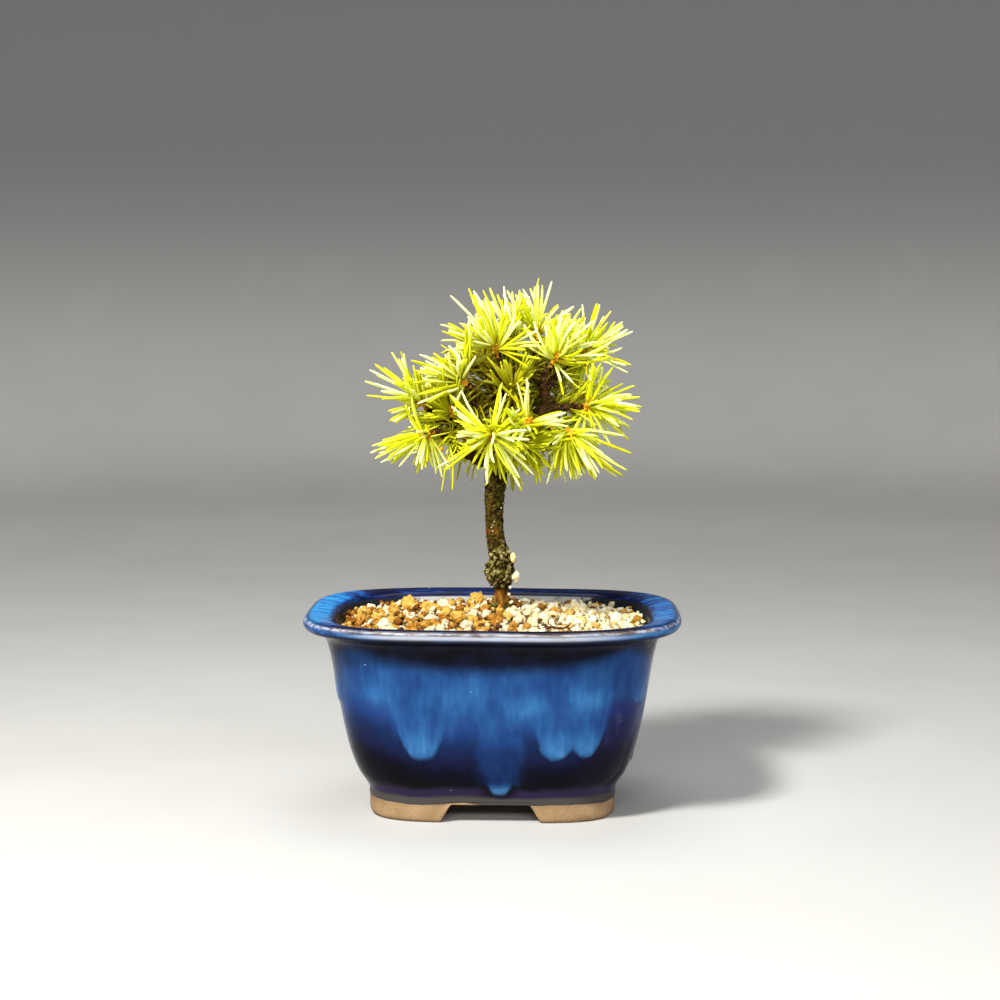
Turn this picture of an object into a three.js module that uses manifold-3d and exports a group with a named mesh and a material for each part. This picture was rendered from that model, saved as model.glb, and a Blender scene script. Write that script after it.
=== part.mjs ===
// A young Japanese white pine growing in a small blue glazed pot, at its real size in millimetres.
// Z is up, X runs along the pot's long side, and the origin is on the table under the pot's middle.
import * as THREE from "three";
import { mergeVertices } from "three/addons/utils/BufferGeometryUtils.js";
import Module from "manifold-3d";

const wasm = await Module();
wasm.setup();

// Driving dimensions of the pot
const RIM_HALF_WIDTH = 55.4;
const RIM_HALF_DEPTH = 42;
const POT_HEIGHT = 58.2;
const DEPTH_SHARE = 0.82; // how much of the walls' lean in width they also lean in depth
const CORNER_SHARPNESS = { foot: 4, rim: 3.3 }; // exponent of the rounded rectangle in plan
const POT_SIDES = 40;
const FOOT_HALF_WIDTH = 36.4;
const NOTCH_HEIGHT = 5.2;
const NOTCH_SPLAY = 3.2; // a notch between two feet is this much wider at the table, each side
const FRONT_NOTCH_HALF = 11.3;
const SIDE_NOTCH_HALF = 7.6;
const UNDERSIDE = 6.4;
const FLOOR_TOP = 11;
const DRAIN_X = 17;
const DRAIN_RADIUS = 4.5;

// Fits between neighbouring pieces
const GAP = 0.3;
const ROUND_ROOTS = 0.45; // the soil's holes are this much wider than the wood in them, all round

// Driving dimensions of what lies in the pot
const SOIL_EDGE = 54.8; // height of the grit at the wall
const MOUND_RISE = 4.4; // how much higher it stands round the trunk
const MOUND_SPREAD = 20;
const HEAP = { x: -24, y: 10, rise: 1.3, alongX: 14, alongY: 12 }; // a second, low rise at the back left
const SOIL_HALF_WIDTH = 45.2; // of the surface, before the gap to the wall
const TOPPING_DEPTH = 2.4; // thickness of the pale pumice over the right half
const LUMP_PITCH = 3.5;
const LUMP_RELIEF = 1.5;
const LUMP_SHIFT = 0.6; // share of the pitch that a lump may stray

// Driving dimensions of the tree
const TRUNK_X = 2.5;
const NEEDLE_RADIUS = 0.56;
const SHOOT_LENGTH = 3.6;
const SHOOT_RADIUS = 0.9;
const BUD_TIP = 4.7; // the bud's point, this far from the shoot's foot
const NEEDLES_FROM = 1.1; // the first needles stand this far up the shoot
const GOLDEN_ANGLE = THREE.MathUtils.degToRad(137.508);

const MATERIALS = {
  glaze: { color: 0x1d4b9c, roughness: 0.18, metalness: 0 },
  akadama: { color: 0xb27a35, roughness: 0.95, metalness: 0 },
  pumice: { color: 0xeadfc6, roughness: 0.95, metalness: 0 },
  screen: { color: 0x1b1c1f, roughness: 0.6, metalness: 0 },
  wire: { color: 0x6b4a32, roughness: 0.4, metalness: 1 },
  bark: { color: 0x4b3a22, roughness: 0.9, metalness: 0 },
  needles: { color: 0xc6de4c, roughness: 0.45, metalness: 0 },
};

// Repeatable random numbers from 0 to 1
function seeded(seed) {
  let state = seed >>> 0;
  return () => {
    state = (Math.imul(state, 1664525) + 1013904223) >>> 0;
    return state / 4294967296;
  };
}

// A three.js geometry as a solid that can be joined and cut
function solidOf(geometry) {
  const bare = geometry.index ? geometry.toNonIndexed() : geometry.clone();
  bare.deleteAttribute("normal");
  bare.deleteAttribute("uv");
  const merged = mergeVertices(bare, 1e-4);
  return new wasm.Manifold(
    new wasm.Mesh({
      numProp: 3,
      vertProperties: merged.attributes.position.array,
      triVerts: new Uint32Array(merged.index.array),
    }),
  );
}

function geometryOf(solid) {
  const mesh = solid.getMesh();
  const geometry = new THREE.BufferGeometry();
  geometry.setAttribute("position", new THREE.BufferAttribute(new Float32Array(mesh.vertProperties), 3));
  geometry.setIndex(new THREE.BufferAttribute(new Uint32Array(mesh.triVerts), 1));
  return geometry;
}

function joined(solids) {
  return wasm.Manifold.union(solids);
}

function piece(name, solid, material) {
  const geometry = geometryOf(solid);
  geometry.computeVertexNormals();
  const mesh = new THREE.Mesh(geometry, new THREE.MeshStandardMaterial(MATERIALS[material]));
  mesh.name = name;
  return mesh;
}

// A plain block between two corners
function block(low, high) {
  const geometry = new THREE.BoxGeometry(...high.map((value, i) => value - low[i]));
  return solidOf(geometry.translate(...high.map((value, i) => (value + low[i]) / 2)));
}

// The pot's plan is a rounded rectangle. These give its half depth and its corners' sharpness.
const FLAT_FROM = 28;
const leanedHalfDepth = (halfWidth) => RIM_HALF_DEPTH - (RIM_HALF_WIDTH - halfWidth) * DEPTH_SHARE;

function halfDepthAt(halfWidth) {
  if (halfWidth >= FLAT_FROM) return leanedHalfDepth(halfWidth);
  return (halfWidth * leanedHalfDepth(FLAT_FROM)) / FLAT_FROM;
}

function sharpnessAt(z) {
  return THREE.MathUtils.lerp(CORNER_SHARPNESS.foot, CORNER_SHARPNESS.rim, z / POT_HEIGHT);
}

const signedPower = (value, power) => Math.sign(value) * Math.abs(value) ** power;

// A form turned on the wheel from a profile of [half width, height], then pressed to the pot's plan.
// An inset draws all of it that much inwards.
function pressedForm(profile, inset = 0) {
  const geometry = new THREE.LatheGeometry(
    profile.map(([r, z]) => new THREE.Vector2(r, z)),
    POT_SIDES,
  );
  const place = geometry.attributes.position;
  for (let i = 0; i < place.count; i++) {
    const [x, z, y] = [place.getX(i), place.getY(i), -place.getZ(i)];
    const r = Math.hypot(x, y);
    const power = 2 / sharpnessAt(z);
    const halfWidth = Math.max(r - inset, 0);
    const halfDepth = Math.max(halfDepthAt(r) - inset, 0);
    const newX = r > 1e-6 ? halfWidth * signedPower(x / r, power) : 0;
    const newY = r > 1e-6 ? halfDepth * signedPower(y / r, power) : 0;
    place.setXYZ(i, newX, newY, z);
  }
  return solidOf(geometry);
}

// The pot: thick walls that belly out from the foot, a broad rolled lip, and a foot ring
const OUTER_WALL = [
  [31.4, 0],
  [35.4, 0],
  [FOOT_HALF_WIDTH, 1],
  [FOOT_HALF_WIDTH, 7.4],
  [37.6, 9.4],
  [39.6, 12.9],
  [41.7, 18.2],
  [43.7, 26.3],
  [45.6, 36.3],
  [47.7, 47.6],
  [49.4, 52.4],
  [52.6, 54.2],
  [54.9, 55],
  [RIM_HALF_WIDTH, 56.5],
  [54.7, POT_HEIGHT],
];
const INNER_WALL = [
  [47.2, 57.3],
  [45.6, 55],
  [43.1, 42],
  [38.9, 22.4],
  [34.6, 13.4],
  [29.6, FLOOR_TOP],
];
const FOOT_INSIDE = [30.2, UNDERSIDE];

// A prism across the pot under which a notch between two feet is left open
function notch(half, reach) {
  const below = -2;
  const splayBelow = NOTCH_SPLAY * (1 - below / NOTCH_HEIGHT);
  const outline = new THREE.Shape([
    new THREE.Vector2(-half, NOTCH_HEIGHT),
    new THREE.Vector2(-half - splayBelow, below),
    new THREE.Vector2(half + splayBelow, below),
    new THREE.Vector2(half, NOTCH_HEIGHT),
  ]);
  const geometry = new THREE.ExtrudeGeometry(outline, { depth: 2 * reach, bevelEnabled: false });
  return geometry.translate(0, 0, -reach).rotateX(Math.PI / 2);
}

function makePot() {
  const body = pressedForm([[0, UNDERSIDE], FOOT_INSIDE, ...OUTER_WALL, ...INNER_WALL, [0, FLOOR_TOP]]);
  const frontToBack = solidOf(notch(FRONT_NOTCH_HALF, RIM_HALF_DEPTH));
  const sideToSide = solidOf(notch(SIDE_NOTCH_HALF, RIM_HALF_WIDTH).rotateZ(Math.PI / 2));
  const through = 2 * (FLOOR_TOP - UNDERSIDE);
  const drains = [-DRAIN_X, DRAIN_X].map((x) =>
    solidOf(
      new THREE.CylinderGeometry(DRAIN_RADIUS, DRAIN_RADIUS, through, 16)
        .rotateX(Math.PI / 2)
        .translate(x, 0, (UNDERSIDE + FLOOR_TOP) / 2),
    ),
  );
  return body.subtract(joined([frontToBack, sideToSide, ...drains]));
}

// The mesh screen over each drain hole, and the wire staple that holds it down
const SCREEN_CELLS = 4;
const SCREEN_PITCH = 3.4;
const SCREEN_BAR = 1.1;
const SCREEN_HALF = (SCREEN_CELLS * SCREEN_PITCH + SCREEN_BAR) / 2;
const SCREEN_THICKNESS = 0.9;
const SCREEN_TOP = FLOOR_TOP + GAP + SCREEN_THICKNESS;
const WIRE_RADIUS = 0.5;
const STAPLE_TAIL = 6;
const STAPLE_BEND = 1;

function makeScreen() {
  const cells = Array.from({ length: SCREEN_CELLS }, (_, i) => (i + 0.5 - SCREEN_CELLS / 2) * SCREEN_PITCH);
  const half = (SCREEN_PITCH - SCREEN_BAR) / 2;
  const sheet = block([-SCREEN_HALF, -SCREEN_HALF, 0], [SCREEN_HALF, SCREEN_HALF, SCREEN_THICKNESS]);
  const [below, above] = [-SCREEN_THICKNESS, 2 * SCREEN_THICKNESS];
  const holes = cells.flatMap((x) =>
    cells.map((y) => block([x - half, y - half, below], [x + half, y + half, above])),
  );
  return sheet.subtract(joined(holes));
}

function makeStaple() {
  const leg = SCREEN_PITCH / 2;
  const over = SCREEN_TOP + GAP + WIRE_RADIUS;
  const under = UNDERSIDE - GAP - WIRE_RADIUS;
  const route = [
    [-leg - STAPLE_TAIL, under],
    [-leg - STAPLE_BEND, under],
    [-leg, under + STAPLE_BEND],
    [-leg, over - STAPLE_BEND],
    [-leg + STAPLE_BEND, over],
    [leg - STAPLE_BEND, over],
    [leg, over - STAPLE_BEND],
    [leg, under + STAPLE_BEND],
    [leg + STAPLE_BEND, under],
    [leg + STAPLE_TAIL, under],
  ];
  return limb(
    route.map(([x, z]) => [x, 0, z, WIRE_RADIUS]),
    6,
    1,
  );
}

function curveThrough(points) {
  return new THREE.CatmullRomCurve3(points.map(([x, y, z]) => new THREE.Vector3(x, y, z)));
}

// A round limb that follows points of [x, y, z, radius]: a cylinder, or a cone where the last radius
// is 0, bent onto the points' curve with so many rings to each span between two points
function limb(points, sides, ringsPerSpan, extra = 0) {
  const spans = points.length - 1;
  const steps = spans * ringsPerSpan;
  const curve = curveThrough(points);
  const frames = curve.computeFrenetFrames(steps);
  const geometry = new THREE.CylinderGeometry(points[spans][3] > 0 ? 1 : 0, 1, 1, sides, steps);
  const place = geometry.attributes.position;
  for (let i = 0; i < place.count; i++) {
    const share = place.getY(i) + 0.5;
    const step = Math.round(share * steps);
    const from = Math.min(Math.floor(share * spans + 1e-6), spans - 1);
    const radius = THREE.MathUtils.lerp(points[from][3], points[from + 1][3], share * spans - from) + extra;
    const out = radius / (Math.hypot(place.getX(i), place.getZ(i)) || 1);
    const spot = curve
      .getPoint(share)
      .addScaledVector(frames.binormals[step], place.getX(i) * out)
      .addScaledVector(frames.normals[step], place.getZ(i) * out);
    place.setXYZ(i, spot.x, spot.y, spot.z);
  }
  return solidOf(geometry);
}

// The trunk, from the root crown in the soil, past the knobbly graft, to where it forks
const TRUNK = [
  [2.4, 0.2, 40, 1.2],
  [2.5, 0, 49, 2.4],
  [2.5, 0, 57, 3],
  [2.5, 0, 60.4, 2.2],
  [2.4, 0, 62.8, 1.75],
  [2.4, 0, 65.2, 2.6],
  [2.1, 0, 68.2, 4.3],
  [2.2, 0, 71.4, 3.9],
  [2.1, 0, 73.8, 3.5],
  [1.4, 0, 76, 2.9],
  [0.5, 0, 81, 2.65],
  [0.3, 0, 87, 2.7],
  [0.5, 0, 93, 3],
  [0.9, 0, 98.5, 3.3],
  [1.8, -0.5, 103.5, 3.7],
  [2.9, -1, 108, 3],
];
const CROWN_TOP = 65; // below this the trunk may stand in the soil
const ROOT_AZIMUTHS = [20, 95, 160, 235, 305];
const ROOT_SHARE = 0.8; // roots reach this much as far along the pot's short side as along its long one
const BOUGHS = [
  // low left, left, right, up, back
  [[0.6, -1, 100.5, 2.1], [-6, -2.4, 104, 1.8], [-12, -4, 107, 1.4]],
  [[1.8, -1, 104, 2.4], [-3, -2, 108.5, 2], [-8.1, -3, 112, 1.6], [-15.8, -4, 115, 1.2]],
  [[2.9, -1, 106, 2.6], [8, -2, 111, 2.2], [12.5, -3, 115, 1.9], [16.2, -4, 118.9, 1.6]],
  [[2.9, -1, 106, 2.5], [3.2, -0.5, 112, 2.1], [2.7, -1, 119, 1.7]],
  [[2.6, 0.5, 105, 2.3], [3.5, 4.5, 109.5, 1.9], [5, 10, 112.5, 1.5]],
];

// Each shoot: where its needles start, the way it points, its needles' length, how full it is, and the
// twig that carries it, as points of [x, y, z, radius]. The twig ends a hair short of the shoot.
const SHOOTS = [
  { name: "front_low", at: [0.8, -19.4, 110.8], toward: [-0.25, -0.9, 0.35], needle: 16.5, full: 1.15,
    twig: [[1.6, -3, 104.5, 1.8], [1.2, -10, 107, 1.4], [0.9, -15, 109.4, 1.1]] },
  { name: "front_right", at: [9.4, -17, 113.2], toward: [0.45, -0.6, 0.65], needle: 14.5, full: 1,
    twig: [[2.2, -5, 106, 1.5], [6, -10, 109, 1.2], [8.4, -14, 111.4, 1]] },
  { name: "left_outer", at: [-20, -3.6, 118.8], toward: [-0.62, -0.3, 0.68], needle: 13, full: 1.15,
    twig: [[-13, -3.6, 114, 1.3], [-16.8, -3.6, 115.6, 1]] },
  { name: "left_lower", at: [-18, -7, 111], toward: [-0.87, -0.3, -0.35], needle: 13, full: 0.95,
    twig: [[-10.6, -3.4, 106.4, 1.4], [-14, -5.4, 110, 1.1]] },
  { name: "left_upper", at: [-7, -10.5, 125.2], toward: [-0.72, -0.35, 0.5], needle: 14.5, full: 1.15,
    twig: [[-3, -2, 108.5, 1.5], [-4.6, -4, 114, 1.3], [-5.8, -8, 120.5, 1]] },
  { name: "left_middle", at: [-11, -6.5, 115.6], toward: [-0.3, -0.5, 0.75], needle: 12, full: 0.7,
    twig: [[-8, -3, 112, 1.2], [-9.6, -5, 113.6, 1]] },
  { name: "top_left", at: [1.4, -6, 134], toward: [-0.35, -0.2, 0.9], needle: 14.5, full: 1.15,
    twig: [[2.7, -1, 118, 1.5], [2.3, -3, 125, 1.2], [1.9, -5, 130.5, 1]] },
  { name: "top_middle", at: [13, 5, 137.4], toward: [-0.05, 0.05, 1], needle: 13.5, full: 1.15,
    twig: [[2.8, -0.8, 117.5, 1.5], [7.5, 1.2, 124, 1.3], [11.6, 3.8, 131.5, 1.05]] },
  { name: "top_right", at: [17.4, -4.4, 131.2], toward: [0.4, -0.35, 0.8], needle: 14.5, full: 1.15,
    twig: [[16.2, -4, 117.6, 1.6], [14.9, -3.6, 123.5, 1.4], [15.2, -3.4, 128, 1.15]] },
  { name: "right_upper", at: [25, 5, 133], toward: [0.9, 0.05, 0.35], needle: 14.5, full: 1.1,
    twig: [[14.9, -3.4, 123, 1.3], [18.6, 0, 127.5, 1.1], [22, 3.2, 131, 1]] },
  { name: "right_middle", at: [26.4, -2.6, 118.6], toward: [0.97, -0.2, 0.05], needle: 14, full: 1.15,
    twig: [[15.8, -3.8, 118, 1.5], [20.5, -3.6, 118.2, 1.25], [23.6, -3, 118.7, 1.05]] },
  { name: "right_lower", at: [21, -6.6, 112.4], toward: [0.6, -0.3, -0.7], needle: 15.5, full: 1.1,
    twig: [[12, -3, 114.4, 1.4], [15.6, -5, 114.4, 1.2], [18.8, -6.2, 113.8, 1]] },
  { name: "under_right", at: [8.4, -6.8, 107.6], toward: [0.85, -0.35, -0.1], needle: 11, full: 0.7,
    twig: [[3.4, -2.4, 105, 1.4], [6.2, -5, 106.8, 1]] },
  { name: "centre", at: [5.6, -8.6, 121.4], toward: [0.1, -0.6, 0.75], needle: 11.5, full: 0.8,
    twig: [[3.1, -1, 112.5, 1.3], [4.6, -4.6, 117.6, 1]] },
  { name: "centre_left", at: [-1.6, 3, 126.4], toward: [-0.35, 0.1, 0.9], needle: 12.5, full: 0.8,
    twig: [[2.7, -0.8, 117, 1.3], [0.4, 1.4, 122, 1]] },
  { name: "top_back_left", at: [-2.6, 13, 132.2], toward: [-0.4, 0.6, 0.7], needle: 14.5, full: 1.1,
    twig: [[2.7, -0.6, 118, 1.4], [1.6, 5, 124, 1.2], [-0.6, 10, 129, 1]] },
  { name: "top_back_right", at: [18.6, 15, 131], toward: [0.3, 0.6, 0.75], needle: 14.5, full: 1.1,
    twig: [[6.6, 1, 122.8, 1.4], [12, 7.5, 126, 1.2], [16.4, 12.4, 129, 1]] },
  { name: "back_left", at: [-13.4, 12.6, 119.4], toward: [-0.7, 0.6, 0.4], needle: 14, full: 1.1,
    twig: [[-4, -1.6, 109.4, 1.4], [-7.4, 4, 112.6, 1.2], [-11, 9.4, 116.8, 1]] },
  { name: "back_right", at: [24.2, 12, 120.4], toward: [0.75, 0.6, 0.2], needle: 14, full: 1.1,
    twig: [[15.8, -3.6, 118.2, 1.4], [18.6, 3, 118.6, 1.2], [22, 8.8, 119.6, 1]] },
  { name: "back_middle", at: [6.6, 19, 119.6], toward: [0, 0.85, 0.5], needle: 15, full: 1.1,
    twig: [[4.6, 8.6, 112, 1.4], [6, 13, 114.6, 1.2], [6.6, 16.4, 117, 1]] },
  { name: "back_low_left", at: [-8.2, 13.4, 108.6], toward: [-0.65, 0.7, -0.15], needle: 14.5, full: 1,
    twig: [[2, 2, 103.6, 1.6], [-2, 7, 106, 1.3], [-5.6, 11, 107.6, 1]] },
  { name: "back_low_right", at: [16.4, 13.6, 110], toward: [0.65, 0.65, -0.3], needle: 14.5, full: 1,
    twig: [[4.8, 9.6, 112, 1.4], [9.6, 11.6, 111, 1.2], [13.4, 12.8, 110.4, 1]] },
  { name: "back_low_middle", at: [4.2, 20, 109.4], toward: [-0.1, 0.9, -0.2], needle: 14, full: 0.9,
    twig: [[4.6, 9, 111.8, 1.3], [4.6, 14, 110.4, 1.1], [4.4, 17, 109.8, 1]] },
  { name: "top_centre", at: [6, 4.6, 135.6], toward: [-0.1, 0.1, 1], needle: 14, full: 1,
    twig: [[2.8, -0.6, 119, 1.4], [4, 1.4, 126, 1.2], [5.4, 3.4, 131.4, 1]] },
];

function unit([x, y, z]) {
  return new THREE.Vector3(x, y, z).normalize();
}

// The twig's own points, then a short straight run in line with the shoot
function twigPoints(shoot) {
  const run = [GAP + 1.6, GAP].map((back) => {
    const spot = new THREE.Vector3(...shoot.at).addScaledVector(unit(shoot.toward), -back);
    return [spot.x, spot.y, spot.z, SHOOT_RADIUS];
  });
  return [...shoot.twig, ...run];
}

function rootPoints(azimuth, i) {
  const turn = THREE.MathUtils.degToRad(azimuth);
  const [across, along] = [Math.cos(turn), Math.sin(turn) * ROOT_SHARE];
  return [
    [0, 54.5, 1.5],
    [6, 53, 1.3],
    [14, 46 - i, 1],
    [21, 34 + i, 0.6],
  ].map(([out, z, radius]) => [TRUNK_X + across * out, along * out, z, radius]);
}

const KNOBS = 12;
const KNOB_LOW = 65.4;
const KNOB_HIGH = 75.4;
const KNOB_OUT = { ends: 2, bulge: 1.9 }; // of a knob's middle from the trunk's
const GRAFT_X = 2.2;
const KNOB_SIZE = { least: 1.2, spread: 0.6 };

// Scabs of bark that stand out round the graft
function knobs() {
  const random = seeded(71);
  return Array.from({ length: KNOBS }, (_, i) => {
    const share = (i + random()) / KNOBS;
    const z = THREE.MathUtils.lerp(KNOB_LOW, KNOB_HIGH, share);
    const out = KNOB_OUT.ends + KNOB_OUT.bulge * Math.sin(Math.PI * share) ** 0.7;
    const turn = i * GOLDEN_ANGLE;
    const size = KNOB_SIZE.least + KNOB_SIZE.spread * random();
    const [tiltX, tiltY] = [6 * random(), 6 * random()];
    const geometry = new THREE.IcosahedronGeometry(size, 0).rotateX(tiltX).rotateY(tiltY);
    return solidOf(geometry.translate(GRAFT_X + out * Math.cos(turn), out * Math.sin(turn), z));
  });
}

function makeWood() {
  return joined([
    limb(TRUNK, 9, 1),
    ...ROOT_AZIMUTHS.map((azimuth, i) => limb(rootPoints(azimuth, i), 4, 1)),
    ...BOUGHS.map((points) => limb(points, 6, 2)),
    ...SHOOTS.map((shoot) => limb(twigPoints(shoot), 4, 1)),
    ...knobs(),
  ]);
}

// What the soil leaves clear round the root crown and roots
function woodInSoil() {
  const crown = TRUNK.filter(([, , z]) => z < CROWN_TOP);
  const lowest = [...crown[0]];
  lowest[2] -= GAP;
  const roots = ROOT_AZIMUTHS.map((azimuth, i) => {
    const points = rootPoints(azimuth, i);
    const tip = points.at(-1);
    const before = points.at(-2);
    const stretch = 1 + GAP / Math.hypot(tip[0] - before[0], tip[1] - before[1], tip[2] - before[2]);
    const longer = [0, 1, 2].map((k) => before[k] + (tip[k] - before[k]) * stretch);
    return limb([...points.slice(0, -1), [...longer, tip[3]]], 4, 1, ROUND_ROOTS);
  });
  return joined([limb([lowest, ...crown.slice(1)], 9, 1, ROUND_ROOTS), ...roots]);
}

// The grit's surface: highest round the trunk, with a low heap at the back left
function soilTop(x, y) {
  const fromTrunk = Math.hypot(x - TRUNK_X, y) / MOUND_SPREAD;
  const fromHeap = Math.hypot((x - HEAP.x) / HEAP.alongX, (y - HEAP.y) / HEAP.alongY);
  const mound = MOUND_RISE * Math.exp(-(fromTrunk ** 2));
  return SOIL_EDGE + mound + HEAP.rise * Math.exp(-(fromHeap ** 2));
}

// A slab with a lumpy top: every second point of a grid stands up as the crown of a lump of grit
function grit() {
  const random = seeded(2024);
  const columns = 2 * Math.round(RIM_HALF_WIDTH / LUMP_PITCH);
  const rows = 2 * Math.round(RIM_HALF_DEPTH / LUMP_PITCH);
  const [width, depth] = [columns * LUMP_PITCH, rows * LUMP_PITCH];
  const geometry = new THREE.BoxGeometry(width, depth, SOIL_EDGE, columns, rows, 1);
  geometry.translate(0, 0, SOIL_EDGE / 2);
  const heights = Array.from({ length: (columns + 1) * (rows + 1) }, random);
  const shifts = heights.map(() => [random() - 0.5, random() - 0.5]);
  const place = geometry.attributes.position;
  for (let i = 0; i < place.count; i++) {
    if (place.getZ(i) < SOIL_EDGE / 2) continue;
    const [x, y] = [place.getX(i), place.getY(i)];
    const column = Math.round(x / LUMP_PITCH + columns / 2);
    const row = Math.round(y / LUMP_PITCH + rows / 2);
    const index = row * (columns + 1) + column;
    const crown = (row + column) % 2 === 0 ? 1 : -0.6;
    const z = soilTop(x, y) + LUMP_RELIEF * crown * THREE.MathUtils.lerp(0.4, 1, heights[index]);
    const [shiftX, shiftY] = shifts[index].map((share) => share * LUMP_SHIFT * LUMP_PITCH);
    place.setXYZ(i, x + shiftX, y + shiftY, z);
  }
  return solidOf(geometry);
}

// The soil fills the pot clear of its wall, up to the lumpy top
function soilBody() {
  const wall = INNER_WALL.filter(([, z]) => z < SOIL_EDGE).reverse();
  const above = SOIL_EDGE + 12;
  const plug = [[0, FLOOR_TOP], ...wall, [SOIL_HALF_WIDTH, SOIL_EDGE], [SOIL_HALF_WIDTH, above], [0, above]];
  const lifted = plug.map(([r, z]) => [r, z === FLOOR_TOP ? z + GAP : z]);
  return pressedForm(lifted, GAP + 0.1).intersect(grit());
}

// What lies right of a wavy line near the trunk, and higher than a depth: the room of the pale pumice
const LINE_X = 7.5;
const LINE_WAVE = 2.2;
const LINE_STEPS = 8;
const LINE_REACH = RIM_HALF_DEPTH + 2;

function pumiceRoom(grown) {
  const line = Array.from({ length: LINE_STEPS + 1 }, (_, i) => {
    const y = THREE.MathUtils.lerp(-LINE_REACH, LINE_REACH, i / LINE_STEPS);
    return new THREE.Vector2(LINE_X - grown + LINE_WAVE * Math.sin(y / 6), y);
  });
  const corners = [LINE_REACH, -LINE_REACH].map((y) => new THREE.Vector2(RIM_HALF_WIDTH, y));
  const outline = new THREE.Shape([...line, ...corners]);
  const geometry = new THREE.ExtrudeGeometry(outline, { depth: 20, bevelEnabled: false });
  return solidOf(geometry.translate(0, 0, SOIL_EDGE - TOPPING_DEPTH - grown));
}

// The largest of the bodies in a solid, without the loose scraps that a cut can leave
function largestOf(solid) {
  return solid.decompose().reduce((best, body) => (body.volume() > best.volume() ? body : best));
}

// Two bodies of soil: brown akadama that fills the pot, and the pale pumice over its right half
function makeSoil() {
  const surface = soilBody();
  const roomForWood = woodInSoil();
  const screenRoom = [-DRAIN_X, DRAIN_X].flatMap((x) => {
    const half = SCREEN_HALF + GAP;
    const staple = SCREEN_PITCH / 2 + WIRE_RADIUS + GAP;
    const over = SCREEN_TOP + GAP;
    const overStaple = over + 2 * WIRE_RADIUS + GAP;
    const stapleY = SCREEN_PITCH / 2;
    const stapleHalf = WIRE_RADIUS + GAP;
    return [
      block([x - half, -half, FLOOR_TOP], [x + half, half, over]),
      block([x - staple, stapleY - stapleHalf, FLOOR_TOP], [x + staple, stapleY + stapleHalf, overStaple]),
    ];
  });
  const topping = surface.intersect(pumiceRoom(0)).subtract(roomForWood);
  const bed = surface.subtract(joined([pumiceRoom(GAP), roomForWood, ...screenRoom]));
  return { topping: largestOf(topping), bed: largestOf(bed) };
}

// Least distance between two straight stretches p to q and a to b
function stretchGap([p, q], [a, b]) {
  const d1 = new THREE.Vector3().subVectors(q, p);
  const d2 = new THREE.Vector3().subVectors(b, a);
  const between = new THREE.Vector3().subVectors(p, a);
  const [aa, ee, ff] = [d1.dot(d1), d2.dot(d2), d2.dot(between)];
  const [cc, bb] = [d1.dot(between), d1.dot(d2)];
  const denominator = aa * ee - bb * bb;
  const clamp = (value) => THREE.MathUtils.clamp(value, 0, 1);
  let s = denominator > 1e-9 ? clamp((bb * ff - cc * ee) / denominator) : 0;
  const t = clamp((bb * s + ff) / ee);
  s = clamp((bb * t - cc) / aa);
  return p.clone().addScaledVector(d1, s).distanceTo(a.clone().addScaledVector(d2, t));
}

// Every limb as straight stretches with a radius, so that needles can keep clear of the wood
function woodStretches() {
  const runs = [TRUNK, ...BOUGHS, ...SHOOTS.map(twigPoints)];
  const toSpan = 3;
  return runs.flatMap((points) => {
    const spots = curveThrough(points).getPoints(toSpan * (points.length - 1));
    return spots.slice(1).map((spot, i) => {
      const at = Math.floor(i / toSpan);
      return { ends: [spots[i], spot], radius: Math.max(points[at][3], points[at + 1][3]) };
    });
  });
}

// The needles stand round the shoot at the golden angle, spread wide at its foot and forward at its
// tip. Each is a slim three-sided blade that curves a little towards the shoot's end.
const NEEDLES_EACH = 14;
const FOOT_SPREAD = THREE.MathUtils.degToRad(104);
const TIP_SPREAD = THREE.MathUtils.degToRad(16);
const ROOT_OUT = 0.4; // needles are rooted this far off the shoot's middle
const TRIES = 16;
const SHOULDER = 0.84; // share of the needle's length where it starts to taper
const LENGTH_RANGE = [0.86, 1.08]; // of the shoot's needle length
const BEND_RANGE = [0.04, 0.16]; // how far the tip curves forward, as a share of the length
const NEEDLE_CLEARANCE = 0.2;
const WOOD_CLEARANCE = 0.1;
const LEAVING = 1.6; // the first stretch of a needle, where it stands among its own shoot's bark

function needleLine(root, way, forward, length, bend) {
  const shoulder = root
    .clone()
    .addScaledVector(way, length * SHOULDER)
    .addScaledVector(forward, length * bend * 0.6);
  const tip = root
    .clone()
    .addScaledVector(way, length * 0.98)
    .addScaledVector(forward, length * bend);
  return [root, shoulder, tip];
}

function needle(line) {
  const radii = [0.55 * NEEDLE_RADIUS, NEEDLE_RADIUS, 0];
  return limb(
    line.map((spot, i) => [spot.x, spot.y, spot.z, radii[i]]),
    3,
    1,
  );
}

// A needle keeps clear of all other shoots and needles, and of the wood once it has left its own shoot
function isClear([root, shoulder, tip], others, wood) {
  const leaving = root.clone().lerp(shoulder, LEAVING / root.distanceTo(shoulder));
  const apart = 2 * NEEDLE_RADIUS + NEEDLE_CLEARANCE;
  const runs = [
    [root, shoulder],
    [shoulder, tip],
  ];
  const clearOfShoots = runs.every((run) => others.every((other) => stretchGap(run, other) > apart));
  if (!clearOfShoots) return false;
  runs[0] = [leaving, shoulder];
  return runs.every((run) =>
    wood.every(({ ends, radius }) => stretchGap(run, ends) > radius + NEEDLE_RADIUS + WOOD_CLEARANCE),
  );
}

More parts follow.
